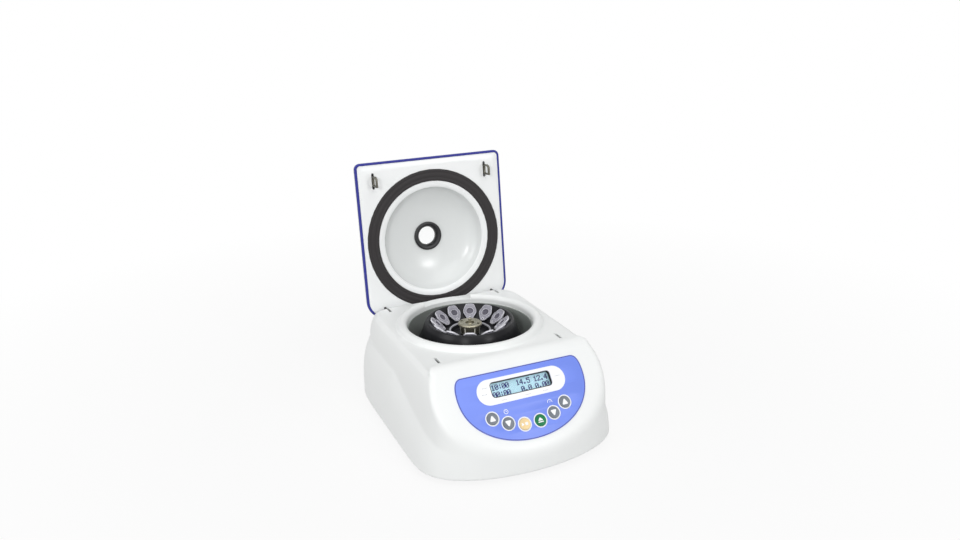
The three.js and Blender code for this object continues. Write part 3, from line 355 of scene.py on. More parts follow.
def solid_object(solid: Solid, name: str) -> bpy.types.Object:
    """Makes an object of a solid, with its faces pointing out.

    Args:
        solid: The solid.
        name: Name of the object and of its mesh.

    Returns:
        The object, in the scene.
    """
    mesh = bpy.data.meshes.new(name)
    mesh.from_pydata([tuple(p) for p in solid.points], [], solid.faces)
    if solid.faces:
        work = bmesh.new()
        work.from_mesh(mesh)
        bmesh.ops.remove_doubles(work, verts=work.verts, dist=1e-5)
        bmesh.ops.recalc_face_normals(work, faces=work.faces)
        work.to_mesh(mesh)
        work.free()
    shape = bpy.data.objects.new(name, mesh)
    bpy.context.scene.collection.objects.link(shape)
    return shape


def baked(shape: bpy.types.Object) -> bpy.types.Object:
    """Turns an object's modifiers into a plain mesh.

    Args:
        shape: The object.

    Returns:
        The same object, without modifiers.
    """
    bpy.context.view_layer.update()
    result = bpy.data.meshes.new_from_object(shape.evaluated_get(bpy.context.evaluated_depsgraph_get()))
    shape.modifiers.clear()
    shape.data = result
    return shape


def carved(shape: bpy.types.Object, solids: Iterable[Solid], operation: str = "DIFFERENCE") -> bpy.types.Object:
    """Cuts solids out of an object, or joins them to it.

    Args:
        shape: The object.
        solids: The solids, which stay clear of each other.
        operation: What the Boolean modifier does with them.

    Returns:
        The same object, with a new mesh.
    """
    joint = Solid()
    for solid in solids:
        joint.add(solid)
    knife = solid_object(joint, "knife")
    cut = shape.modifiers.new("cut", "BOOLEAN")
    cut.operation, cut.solver, cut.object = operation, "EXACT", knife
    baked(shape)
    bpy.data.objects.remove(knife)
    return shape


# Node trees


@dataclass
class Nodes:
    """Adds nodes to a tree."""

    tree: bpy.types.NodeTree

    def fill(self, node: bpy.types.Node, values: dict[int | str, object]) -> bpy.types.Node:
        """Fills a node's inputs.

        Args:
            node: The node.
            values: For each input, a socket to link or a value to set.

        Returns:
            The same node.
        """
        for label, value in values.items():
            if isinstance(value, bpy.types.NodeSocket):
                self.tree.links.new(value, node.inputs[label])
            else:
                node.inputs[label].default_value = value
        return node

    def add(self, kind: str, values: dict[int | str, object] | None = None, **facts: object) -> bpy.types.Node:
        """Adds a node, with values for its inputs and facts as its properties.

        Args:
            kind: Its type.
            values: For each input, a socket to link or a value to set.
            facts: Its properties.

        Returns:
            The node.
        """
        node = self.tree.nodes.new(kind)
        for key, value in facts.items():
            setattr(node, key, value)
        return self.fill(node, values or {})

    def first(self, kind: str, *values: object, **facts: object) -> bpy.types.NodeSocket:
        """Adds a node with values for its inputs in order, and gives its first output."""
        return self.add(kind, dict(enumerate(values)), **facts).outputs[0]

    def math(self, operation: str, *values: object, **facts: object) -> bpy.types.NodeSocket:
        """The result of a sum."""
        return self.first("ShaderNodeMath", *values, operation=operation, **facts)

    def place(self) -> bpy.types.NodeSocket:
        """Object coordinates."""
        return self.add("ShaderNodeTexCoord").outputs["Object"]

    def noise(self, where: bpy.types.NodeSocket, scale: bpy.types.NodeSocket, detail: float) -> bpy.types.NodeSocket:
        """Noise from 0 to 1."""
        return self.add("ShaderNodeTexNoise", {"Vector": where, "Scale": scale, "Detail": detail}).outputs["Fac"]

    def swing(self, noise: bpy.types.NodeSocket, spread: bpy.types.NodeSocket) -> bpy.types.NodeSocket:
        """Noise laid round 0 and scaled."""
        return self.math("MULTIPLY", self.math("SUBTRACT", noise, 0.5), spread)

    def blend(self, share: bpy.types.NodeSocket, a: object, b: object) -> bpy.types.NodeSocket:
        """A mix of two colours."""
        node = self.add("ShaderNodeMix", {"Factor": share}, data_type="RGBA", blend_type="MIX")
        return self.fill(node, {"A": a, "B": b}).outputs["Result"]

    def realized(self, copies: bpy.types.NodeSocket, paint: bpy.types.NodeSocket) -> bpy.types.NodeSocket:
        """Copies as real geometry in their material."""
        real = self.first("GeometryNodeRealizeInstances", copies)
        return self.add("GeometryNodeSetMaterial", {"Geometry": real, "Material": paint}).outputs[0]

    def seen(self) -> bpy.types.NodeSocket:
        """1 for what the camera sees straight, mirrored or through glass.

        Returns:
            The number, 0 for all other light.
        """
        rays = self.add("ShaderNodeLightPath").outputs
        straight = self.math("MAXIMUM", rays["Is Camera Ray"], rays["Is Glossy Ray"])
        return self.math("MAXIMUM", straight, rays["Is Transmission Ray"])

    def close(self, **results: bpy.types.NodeSocket) -> bpy.types.NodeTree:
        """Gives a group its outputs.

        Args:
            results: For each output, the socket that feeds it.

        Returns:
            The group.
        """
        for label, value in results.items():
            kind = "NodeSocketGeometry" if value.type == "GEOMETRY" else "NodeSocketFloat"
            self.tree.interface.new_socket(name=label, in_out="OUTPUT", socket_type=kind)
        self.fill(self.tree.nodes.new("NodeGroupOutput"), results)
        return self.tree


def new_group(name: str, kind: str, inputs: dict[str, float | str]) -> tuple[Nodes, bpy.types.NodeOutputs]:
    """Starts a node group.

    Args:
        name: Its name.
        kind: Its tree's type.
        inputs: Its inputs, each with its usual number, or with the type of a socket that takes no number.

    Returns:
        What adds its nodes, and its input sockets.
    """
    nodes = Nodes(bpy.data.node_groups.new(name, kind))
    for label, value in inputs.items():
        named = isinstance(value, str)
        form = value if named else "Int" if isinstance(value, int) else "Float"
        socket = nodes.tree.interface.new_socket(name=label, in_out="INPUT", socket_type=f"NodeSocket{form}")
        if not named:
            socket.default_value = value
    return nodes, nodes.add("NodeGroupInput").outputs


@cache
def grain_group() -> bpy.types.NodeTree:
    """Fine moulding grain with slow blotches: a height, a roughness change and a tint mask.

    Returns:
        The group, built once.
    """
    nodes, given = new_group("moulding_grain", "ShaderNodeTree", {"Grain": 1800.0, "Blotch": 18.0, "Spread": 0.05})
    where = nodes.place()
    fine, slow = nodes.noise(where, given["Grain"], 3.0), nodes.noise(where, given["Blotch"], 4.0)
    return nodes.close(Height=fine, Gloss=nodes.swing(slow, given["Spread"]), Tint=slow)


@cache
def wear_group() -> bpy.types.NodeTree:
    """A mask of convex edges, broken up by noise.

    Returns:
        The group, built once.
    """
    nodes, given = new_group("edge_wear", "ShaderNodeTree", {"From": 0.53, "To": 0.62, "Break": 400.0})
    point = nodes.add("ShaderNodeNewGeometry").outputs["Pointiness"]
    edge = nodes.first("ShaderNodeMapRange", point, given["From"], given["To"])
    return nodes.close(Mask=nodes.math("MULTIPLY", edge, nodes.noise(nodes.place(), given["Break"], 5.0)))


@cache
def turned_group() -> bpy.types.NodeTree:
    """Lathe marks round the rotor's axis: a height and a roughness change.

    Returns:
        The group, built once.
    """
    nodes, given = new_group("lathe_marks", "ShaderNodeTree", {"Rings": 2500.0, "Spread": 0.1})
    place = nodes.first("ShaderNodeVectorMath", nodes.place(), tuple(-DECK), operation="ADD")
    parts = nodes.add("ShaderNodeSeparateXYZ", {0: place}).outputs
    flat = nodes.first("ShaderNodeCombineXYZ", parts["X"], parts["Y"])
    radius = nodes.add("ShaderNodeVectorMath", {0: flat}, operation="LENGTH").outputs["Value"]
    marks = nodes.noise(nodes.first("ShaderNodeCombineXYZ", radius, parts["Z"]), given["Rings"], 2.0)
    return nodes.close(Height=marks, Gloss=nodes.swing(marks, given["Spread"]))


@cache
def copies_group() -> bpy.types.NodeTree:
    """Lays leaning copies of a shape round the Z axis.

    Returns:
        The group, built once.
    """
    inputs = {"Shape": "Geometry", "Count": 12, "Radius": 31.5, "Lean": -0.7, "Turn": 0.0, "Paint": "Material"}
    nodes, given = new_group("copies_round_axis", "GeometryNodeTree", inputs)
    lean = nodes.add("ShaderNodeCombineXYZ", {"Y": given["Lean"]}).outputs[0]
    out = nodes.first("ShaderNodeCombineXYZ", given["Radius"])
    values = {"Geometry": given["Shape"], "Translation": out, "Rotation": lean}
    laid = nodes.add("GeometryNodeTransform", values).outputs[0]
    spots = nodes.first("GeometryNodePoints", given["Count"])
    step = nodes.math("DIVIDE", 2 * math.pi, given["Count"])
    turn = nodes.math("MULTIPLY_ADD", nodes.first("GeometryNodeInputIndex"), step, given["Turn"])
    spin = nodes.add("ShaderNodeCombineXYZ", {"Z": turn}).outputs[0]
    values = {"Points": spots, "Instance": laid, "Rotation": spin}
    copies = nodes.add("GeometryNodeInstanceOnPoints", values).outputs[0]
    return nodes.close(Shape=nodes.realized(copies, given["Paint"]))


@cache
def dots_group() -> bpy.types.NodeTree:
    """Lays a small rectangle on each point.

    Returns:
        The group, built once.
    """
    inputs = {"Points": "Geometry", "Width": 0.5, "Height": 0.5, "Paint": "Material"}
    nodes, given = new_group("display_dots", "GeometryNodeTree", inputs)
    dot = nodes.first("GeometryNodeMeshGrid", given["Width"], given["Height"], 2, 2)
    dots = nodes.add("GeometryNodeInstanceOnPoints", {"Points": given["Points"], "Instance": dot}).outputs[0]
    return nodes.close(Dots=nodes.realized(dots, given["Paint"]))


def grown(shape: bpy.types.Object, group: bpy.types.NodeTree, **values: object) -> bpy.types.Object:
    """Runs an object through a Geometry Nodes group and keeps the result as its mesh.

    Args:
        shape: The object.
        group: The group.
        values: Values of the group's inputs, by name.

    Returns:
        The same object, with a new mesh.
    """
    modifier = shape.modifiers.new(group.name, "NODES")
    modifier.node_group = group
    for item in group.interface.items_tree:
        if item.in_out == "INPUT" and item.name in values:
            modifier[item.identifier] = values[item.name]
    return baked(shape)


# Finishes


@dataclass(frozen=True)
class Finish:
    """A surface finish: its colour, gloss, grain and wear, and how it builds its material."""

    name: str
    colour: Colour
    roughness: float = 0.4
    metallic: float = 0.0
    tint: float = 0.04
    grain: float = 1800.0
    depth: float = 0.02
    spread: float = 0.08
    wear: Colour | None = None
    specular: float = 0.5
    clear: float = 0.0
    ior: float = 1.46
    turned: float = 0.0
    glow: float = 0.0

    @cache
    def material(self) -> bpy.types.Material:
        """Builds the material once, and gives it again after that.

        Returns:
            The material.
        """
        made = bpy.data.materials.new(f"look_{self.name}")
        made.use_nodes = True
        made.diffuse_color = (*self.colour, 1)
        nodes = Nodes(made.node_tree)
        values = {"Grain": self.grain, "Spread": self.spread}
        grain = nodes.add("ShaderNodeGroup", values, node_tree=grain_group()).outputs
        darker = (c * (1 - self.tint) for c in self.colour)
        lighter = (min(c * (1 + self.tint / 2), 1.0) for c in self.colour)
        colour = nodes.blend(grain["Tint"], (*darker, 1), (*lighter, 1))
        if self.wear:
            worn = nodes.first("ShaderNodeGroup", node_tree=wear_group())
            colour = nodes.blend(worn, colour, (*self.wear, 1))
        gloss, height = grain["Gloss"], grain["Height"]
        if self.turned:
            marks = nodes.add("ShaderNodeGroup", {"Spread": self.turned}, node_tree=turned_group()).outputs
            gloss, height = marks["Gloss"], marks["Height"]
        values = {"Strength": BUMP, "Distance": self.depth * MM, "Height": height}
        looks = {
            "Base Color": colour,
            "Roughness": nodes.math("ADD", gloss, self.roughness, use_clamp=True),
            "Normal": nodes.add("ShaderNodeBump", values).outputs["Normal"],
            "Metallic": self.metallic,
            "Specular IOR Level": self.specular,
            "IOR": self.ior,
            "Transmission Weight": self.clear,
        }
        if self.glow:
            looks |= {"Emission Color": colour, "Emission Strength": self.glow}
        nodes.fill(made.node_tree.nodes["Principled BSDF"], looks)
        return made


SHELL = Finish("shell_white_moulding", (0.83, 0.845, 0.84), 0.36, tint=0.02, grain=2600, depth=0.012)
LINER = Finish("liner_white_moulding", (0.895, 0.91, 0.91), 0.3, tint=0.02, grain=2200, depth=0.01)
# The dome's white is darker than the liner's flat face: painted shade in the dome's hollow.
DOME_PAINTED_SHADE = Finish("liner_glossy_dome_painted_shade", (0.77, 0.79, 0.785), 0.25, tint=0.02, grain=2200, depth=0.004, spread=0.03)
TRIM = Finish("trim_blue", (0.04, 0.046, 0.28), 0.5, tint=0.08, depth=0.01, specular=0.2)
OVERLAY = Finish("overlay_blue_film", (0.175, 0.265, 0.82), 0.38, tint=0.03, grain=5200, depth=0.006)
# A darker band round the overlay's border: painted shadow of the recess that it sits in.
OVERLAY_PAINTED_SHADOW = Finish("overlay_painted_shadow_edge", (0.07, 0.09, 0.4), 0.45, tint=0.04, grain=5200, depth=0.006)
WHITE_PRINT = Finish("white_print", (0.9, 0.91, 0.93), 0.42, tint=0.01, grain=5200, depth=0.004)
GREY_PRINT = Finish("grey_print", (0.45, 0.46, 0.5), 0.5, tint=0.02, grain=5200, depth=0.004)
RUBBER = Finish("gasket_rubber", (0.028, 0.025, 0.026), 0.62, tint=0.25, grain=1500, depth=0.05, specular=0.35)
FOOT_RUBBER = Finish("foot_rubber", (0.03, 0.03, 0.032), 0.8, tint=0.2, grain=1200, depth=0.06, specular=0.3)
BLACK = Finish("black_moulding", (0.014, 0.014, 0.016), 0.42, tint=0.15, grain=2400, depth=0.03)
BOWL_STEEL = Finish("bowl_spun_steel", (0.4, 0.43, 0.41), 0.42, 0.35, tint=0.06, depth=0.02, turned=0.12)
BRIGHT_STEEL = Finish("bright_steel", (0.6, 0.59, 0.57), 0.24, 1.0, tint=0.08, grain=3000, depth=0.01)
DARK_STEEL = Finish("dark_steel", (0.12, 0.115, 0.095), 0.36, 1.0, tint=0.1, grain=2600, depth=0.01)
# Pale colour for the rods on the nut stem's corners: painted highlights.
NUT_PAINTED_HIGHLIGHT = Finish("nut_painted_highlight_edges", (0.92, 0.9, 0.8), 0.3, 0.0, tint=0.04, depth=0.01)
CHAMPAGNE = Finish("nut_champagne", (0.32, 0.3, 0.23), 0.28, 0.85, tint=0.12, depth=0.02, turned=0.16)
ROTOR = Finish(
    "rotor_black_anodised", (0.009, 0.009, 0.011), 0.32, tint=0.2, depth=0.015, turned=0.08,
    wear=(0.08, 0.08, 0.085), specular=0.2,
)
# Polished bead round the nut. Its pale grey is also a painted highlight for the bright ring.
POLISHED_AND_PAINTED_HIGHLIGHT = Finish("rotor_polished_bead_painted_highlight", (0.5, 0.5, 0.54), 0.25, 0.3, tint=0.05, depth=0.01, turned=0.05)
CLEAR = Finish(
    "tube_clear_plastic", (0.54, 0.53, 0.6), 0.16, tint=0.01, grain=900, depth=0.01, clear=0.55, ior=1.42,
    spread=0.04,
)
# Dark colour for the caps' thin dishes: painted shade of the dark recess seen through them.
TUBE_DISH_PAINTED_SHADE = Finish(
    "tube_dish_painted_shade", (0.2, 0.19, 0.24), 0.12, tint=0.01, grain=900, depth=0.01, clear=0.5, ior=1.3, spread=0.02
)
# Lighter, barely clear finish for the caps' rims: painted highlights on their edges.
TUBE_PAINTED_HIGHLIGHT = Finish("tube_painted_highlight_rims", (0.8, 0.8, 0.86), 0.22, tint=0.02, grain=1500, depth=0.01, clear=0.1, ior=1.42)
SIGHT = Finish(
    "sight_clear", (0.97, 0.98, 0.98), 0.03, tint=0.0, grain=900, depth=0.0, clear=1.0, ior=1.3, spread=0.01
)
LENS = Finish(
    "display_lens", (0.95, 0.97, 0.98), 0.04, tint=0.0, grain=900, depth=0.0, clear=1.0, ior=1.2, spread=0.01
)
BOARD = Finish("board_green", (0.03, 0.12, 0.07), 0.45, tint=0.15, grain=1500, depth=0.01)
KEY_GREY = Finish("key_grey", (0.2, 0.222, 0.255), 0.3, tint=0.04, grain=2600, depth=0.01, specular=0.25)
KEY_YELLOW = Finish("key_yellow", (0.86, 0.66, 0.36), 0.3, tint=0.03, grain=2600, depth=0.01, specular=0.25)
KEY_GREEN = Finish("key_green", (0.015, 0.2, 0.075), 0.3, tint=0.05, grain=2600, depth=0.01, specular=0.25)
CYAN = Finish("display_backlight", (0.4, 0.6, 0.68), 0.5, tint=0.03, grain=3000, depth=0.0, glow=0.24)
INK = Finish("display_ink", (0.02, 0.03, 0.2), 0.6, tint=0.05, grain=3000, depth=0.0)
MOTOR_GREY = Finish("motor_grey_paint", (0.11, 0.12, 0.13), 0.45, 0.2, tint=0.12, depth=0.03, wear=(0.4, 0.4, 0.4))
PLATE_STEEL = Finish("plate_steel", (0.5, 0.5, 0.49), 0.38, 1.0, tint=0.1, grain=1200, depth=0.02)


def settle(
    shape: bpy.types.Object,
    body: str,
    finishes: Finish | Sequence[Finish],
    stands_for: Sequence[str] = (),
    smooth: float = SMOOTH,
) -> None:
    """Lays a finished shape in the row frame and joins it to its body.

    Args:
        shape: The object, with its mesh in millimetres.
        body: The body that it rides on.
        finishes: Its finish, or one for each material index.
        stands_for: The solid nodes that it replaces.
        smooth: Edges that turn by more than this, in degrees, stay sharp.
    """
    mesh = shape.data
    mesh.transform(TO_ROW)
    looks = [finishes] if isinstance(finishes, Finish) else finishes
    indices = [min(face.material_index, len(looks) - 1) for face in mesh.polygons]
    mesh.materials.clear()
    for look in looks:
        mesh.materials.append(look.material())
    mesh.polygons.foreach_set("material_index", indices)
    mesh.shade_smooth()
    mesh.set_sharp_from_angle(angle=math.radians(smooth))
    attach(shape, body)
    if stands_for:
        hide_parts(*stands_for)
    LOG.info("%s rides %s with %d faces", shape.name, body, len(mesh.polygons))


def lay(
    solid: Solid,
    name: str,
    finish: Finish,
    nodes: Sequence[str] = (),
    body: str = "base",
    smooth: float = SMOOTH,
) -> None:
    """Makes an object of a solid and settles it, as settle says."""
    settle(solid_object(solid, name), body, finish, nodes, smooth)


# Housing


def smoothstep(value: np.ndarray, low: float, high: float) -> np.ndarray:
    """Goes from 0 to 1 between two values, smoothly."""
    share = np.clip((value - low) / (high - low), 0, 1)
    return share * share * (3 - 2 * share)


@dataclass(frozen=True)
class Panel:
    """The sloped face with the keypad: where it lies."""

    angle: float = math.radians(51.16)
    reach: float = 125.15
    drop: float = 33.64

    def place(self) -> Matrix:
        """From the panel's own axes (right, up the slope, outwards) to the machine's."""
        return Matrix.Translation((0, -self.reach, -self.drop)) @ Matrix.Rotation(self.angle, 4, "X")


PANEL = Panel()


@dataclass
class Housing:
    """The white shell: deck, collar, front lip, sloped panel, creased flanks and back."""

    bottom: float = -84.0
    wall: float = 2.6
    half_width: float = 79.99
    flank: float = 9.0
    flank_depth: float = 14.0
    fender: float = 9.0
    fender_depth: float = 60.0
    crease: float = 25.5
    crease_start: float = 22.0
    lip_reach: float = 85.6
    lip_rise: float = 4.9
    lip_round: float = 16.0
    edge: float = 4.0
    deck_back: float = 76.2
    back: float = 90.0
    back_depth: float = 24.0
    shelf: float = 17.0
    hub: float = 20.0
    bow: float = 149.69
    bow_rise: float = 15.0
    bore: float = 62.5
    collar: float = 5.0
    skirt: float = 12.0
    blend: float = 6.0
    fender_curl: float = 4.0
    front_corner: Pair = (11.0, 7.5)
    front_depth: float = 16.0
    back_corner: Pair = (6.0, 10.0)
    back_corner_depth: float = 10.0
    vents: int = 7
    vent_left: float = -58.0
    vent_pitch: float = 6.0
    vent_width: float = 2.4
    steps: int = 416

    def directions(self) -> np.ndarray:
        """Angles round the rotor's axis, closer together at the corners.

        Returns:
            The angles, in radians.
        """
        fine = np.linspace(-math.pi, math.pi, 7201)
        weight = np.ones_like(fine)
        for corner, width in ((43.6, 8), (136.4, 8), (-50, 11), (-130, 11)):
            weight += 2.2 * np.exp(-(((np.degrees(fine) - corner) / width) ** 2))
        total = np.concatenate([[0], np.cumsum((weight[1:] + weight[:-1]) / 2)])
        return np.interp(np.arange(self.steps) / self.steps * total[-1], total, fine)

    def rounding(self, depth: np.ndarray, radius: float) -> np.ndarray:
        """How far a rounded edge draws in, at a depth under its top."""
        rise = np.clip(radius - depth, 0, radius)
        return radius - np.sqrt(radius * radius - rise * rise)

    def side(self, y: np.ndarray, z: np.ndarray, top: np.ndarray, cut: float) -> np.ndarray:
        """Half the width at a point of the outline.

        Args:
            y: Places along the machine.
            z: Heights.
            top: Height of the deck or the lip there.
            cut: Thickness taken off, for the inner skin.

        Returns:
            The half widths.
        """
        flank = self.flank * (1 - np.exp(np.minimum(z, 0) / self.flank_depth))
        past = np.maximum(-y - self.crease_start, 0)
        under = -self.crease - 0.3 * past - z
        under = (np.sqrt(under * under + 0.25) + under) / 2
        depth = np.clip(under / self.fender_depth, 0, 1)
        fender = self.fender * (1 - (1 - depth) ** self.fender_curl)
        return self.half_width + flank + fender - cut - self.rounding(top - cut - z, self.edge - cut)

    def panel_reach(self, along: np.ndarray, z: np.ndarray, cut: float) -> np.ndarray:
        """Distance from the rotor's axis to the sloped panel and the round of the lip.

        Args:
            along: Sines of the directions.
            z: Heights.
            cut: Thickness taken off, for the inner skin.

        Returns:
            The distances.
        """
        slope = 1 / math.tan(PANEL.angle)
        crest = PANEL.reach - (self.lip_rise + PANEL.drop) * slope - self.lip_round * math.tan(PANEL.angle / 2)
        rise = z - self.lip_rise + self.lip_round
        round_part = crest + np.sqrt(np.maximum(self.lip_round**2 - rise**2, 0))
        flat_part = PANEL.reach - (z + PANEL.drop) * slope
        on_round = rise > self.lip_round * math.cos(PANEL.angle)
        return to_plane(np.where(on_round, round_part, flat_part) - cut / math.sin(PANEL.angle), -along)

    def reach(self, angle: np.ndarray, z: np.ndarray, top: np.ndarray, cut: float) -> np.ndarray:
        """Distance from the rotor's axis to the shell.

        Args:
            angle: Directions round the axis.
            z: Heights.
            top: Height of the deck or the lip in each direction.
            cut: Thickness taken off, for the inner skin.

        Returns:
            The distances.
        """
        across, along = np.cos(angle), np.sin(angle)
        low_front, top_front = self.front_corner
        low_back, top_back = self.back_corner
        front_power = low_front + (top_front - low_front) * np.exp(np.minimum(z, 0) / self.front_depth)
        back_power = low_back + (top_back - low_back) * np.exp(np.minimum(z, 0) / self.back_corner_depth)
        low, high = np.zeros_like(angle), np.full_like(angle, SEARCH_REACH)
        depth = np.clip(-z / self.back_depth, 0, 1)
        back = self.deck_back + (self.back - self.deck_back) * np.sin(depth * math.pi / 2) - cut
        back = back - self.rounding(-cut - z, self.edge - cut)
        for _ in range(SEARCH_STEPS):
            middle = (low + high) / 2
            x, y = middle * across, middle * along
            share = (x / self.half_width) ** 2
            front = self.bow - self.bow_rise * share * (1 + 0.3 * share) - 0.03 * (z - self.bottom) - cut
            wide = np.abs(x) / self.side(y, z, top, cut)
            front_long = np.maximum(-y - self.hub, 0) / (front - self.hub)
            back_long = np.maximum(y + self.hub, 0) / (back + self.hub)
            long = np.where(y < -self.hub, front_long, back_long)
            power = np.where(y < -self.hub, front_power, back_power)
            inside = wide**power + long**power < 1
            low, high = np.where(inside, middle, low), np.where(inside, high, middle)
        face = self.panel_reach(along, z, cut)
        gap = np.maximum(self.blend - np.abs(low - face), 0)
        return np.minimum(low, face) - gap * gap / (4 * self.blend)

    def tops(self, angle: np.ndarray) -> np.ndarray:
        """Height of the deck or the lip in each direction.

        Args:
            angle: The directions.

        Returns:
            The heights.
        """
        level = np.zeros_like(angle)
        forward = -self.reach(angle, level, level, 0.0) * np.sin(angle)
        return self.lip_rise * smoothstep(forward, self.lip_reach + 0.2, self.lip_reach + 3.2)

    def skin(self) -> Solid:
        """The whole shell as one closed skin, uncut.

        Returns:
            The shell.
        """
        angle = self.directions()
        top = self.tops(angle)
        along = np.sin(angle)

        def wall(height: float, cut: float = 0.0, draw: float = 0.0) -> tuple[np.ndarray, np.ndarray]:
            """One ring of the wall.

            Args:
                height: Its height, where there is no lip.
                cut: Thickness taken off, for the inner skin.
                draw: How far it draws in besides.

            Returns:
                Its distances from the axis and its heights.
            """
            z = height + top * max(1 + height / 18, 0) * (cut == 0)
            distance = self.reach(angle, z, top, cut) - draw
            if height > -self.shelf - cut:
                return np.minimum(distance, to_plane(self.deck_back - cut, along)), z
            return distance, z

        shelf, under = -self.shelf, -self.wall
        rows = [wall(self.bottom + z, 0, draw) for z, draw in ((0, 1.5), (0.25, 0.8), (0.8, 0.25), (1.5, 0))]
        rows += [wall(z) for z in np.arange(self.bottom + 3.2, -27, 2.1)]
        rows += [wall(z) for z in (-26.4, -25, -23.4, -21.8, -20.4, -19.2, -18.3)]
        clamp = to_plane(self.deck_back, along)
        for drop, back_off in ((0.9, 0.0), (0.55, 0.1), (0.25, 0.32), (0.02, 0.9)):
            far, z = wall(shelf - drop)
            rows.append((np.where(far > clamp, np.maximum(far - back_off, clamp), far), z))
        rows += [wall(z) for z in (shelf + 0.01, -15.5, -13.6, -11.8, -10.2, -8.8, -7.6, -6.6, -5.8, -5.1, -4.5)]
        rows += [wall(-d) for d in (4.0, 3.5, 3.0, 2.5, 2.05, 1.65, 1.3, 1.0, 0.74, 0.52, 0.34, 0.2, 0.1, 0.03, 0)]
        rim = rows[-1][0] - 0.45
        line = to_plane(self.lip_reach, -along)
        stepped = line < rim
        start = np.where(stepped, line, rim)
        crest = ((0.3, 1.0), (0.18, 0.985), (0.08, 0.93), (0.02, 0.82), (-0.03, 0.2), (-0.1, 0.06), (-0.3, 0.0))
        rows += [(start + shift, top * share) for shift, share in crest]
        dip = np.where(stepped, -0.55, 0.0)
        near, far = start - 1.0, self.bore + 14.0
        rows += [(start - 0.38, dip), (start - 0.9, dip), (near, 0.0)]
        shares = (0.08, 0.2, 0.36, 0.54, 0.72, 0.88, 1.0)
        rows += [(near + (np.minimum(far, near - 0.2) - near) * share, 0.0) for share in shares]
        foot = ((13.0, 0.0), (12.0, 0.02), (11.3, 0.1), (10.75, 0.3), (10.35, 0.65), (10.08, 1.1))
        rows += [(self.bore + r, z) for r, z in foot]
        middle, bend = self.bore + self.collar, np.linspace(math.radians(20), math.pi, 19)
        rows += [(middle + self.collar * math.cos(turn), self.collar * math.sin(turn)) for turn in bend]
        hem, low = -self.skirt + 0.4, -self.skirt
        rows += [(self.bore + r, z) for r, z in ((0, -2.0), (0, -6.0), (0, hem), (0.4, low), (2.1, low), (2.5, hem))]
        rows += [(self.bore + 2.5, under), ((wall(under, self.wall)[0] + self.bore + 2.5) / 2, under)]
        inner = (under, under - 0.5, under - 1.4, -6.0, -12.0, shelf + under + 0.01, shelf + under - 0.01, -24.0)
        rows += [wall(z, self.wall) for z in (*inner, *np.arange(-29, self.bottom + 4, -6.0), self.bottom)]
        return woven([ring(distance, angle, height) for distance, height in rows])

    def cutters(self) -> list[Solid]:
        """The slots in the deck and the recess behind the collar.

        Returns:
            What is cut out for them, one after the other.
        """
        cuts = [block(-42, 42, 60.7, 76, 0.4, 9, 0.3), block(-26.5, 26.5, 50, 76, 0.45, 9, 0.2)]
        for side in Side:
            x = side.value * LATCH_X
            cuts.append(plate([box_outline(x - 1.25, x + 1.25, -73.8, -61.6, 0.5, 3)], -9, -0.2))
            cuts.append(plate([box_outline(x - 1.45, x + 1.45, -74.0, -61.4, 0.7, 3)], -0.202, 8))
            x = side.value * HINGE_X
            cuts.append(block(x - 1.4, x + 1.4, 62.7, 80, -11.6, 4))
        return cuts

    def openings(self) -> list[Solid]:
        """Holes under the keypad and in the back wall.

        Returns:
            What is cut out for them, all at once.
        """
        keys = [rod(Keypad.hole, -9, 3).at(key.x, key.t) for key in KEYS]
        cuts = [cut.moved(PANEL.place()) for cut in (plate([box_outline(-29.8, 29.8, 13.7, 28.0, 3.0)], -9, 3), *keys)]
        backwards = Matrix.Rotation(math.radians(90), 4, "X")
        for x in (self.vent_left + self.vent_pitch * i for i in range(self.vents)):
            vent = box_outline(x, x + self.vent_width, -69, -47, 1.15, 6)
            cuts.append(plate([vent], -94, -84).moved(backwards))
        low, high = BackPanel.height - 10.3, BackPanel.height + 10.3
        for x, half in ((BackPanel.inlet_x, 13.8), (BackPanel.switch_x, 6.8)):
            cuts.append(block(x - half, x + half, 84, 94, low, high))
        return cuts

    def build(self) -> None:
        """Builds the shell and settles it on the base."""
        shell = solid_object(self.skin(), "shell")
        for cut in self.cutters():
            carved(shell, [cut])
        carved(shell, self.openings())
        settle(shell, "base", SHELL, ["housing"], smooth=28)


# Chamber and rotor


@dataclass
class Chamber:
    """The steel bowl that the rotor spins in."""

    radius: float = 62.2
    wall: float = 0.8
    top: float = -3.0
    floor: float = -43.0
    corner: float = 9.0

    def build(self) -> None:
        """Builds the bowl and settles it on the base."""
        outer, inner, floor, low = self.radius, self.radius - self.wall, self.floor, self.floor - self.wall
        profile = [
            (outer, self.top), (inner, self.top), (inner, floor, self.corner), (11.0, floor, 1.5), (10.2, floor + 3),
            (9.4, floor + 3), (9.4, low), (outer, low, self.corner),
        ]
        lay(lathe(rounded(profile, 0.3, 10), 160), "bowl", BOWL_STEEL, ["chamber_bowl"])


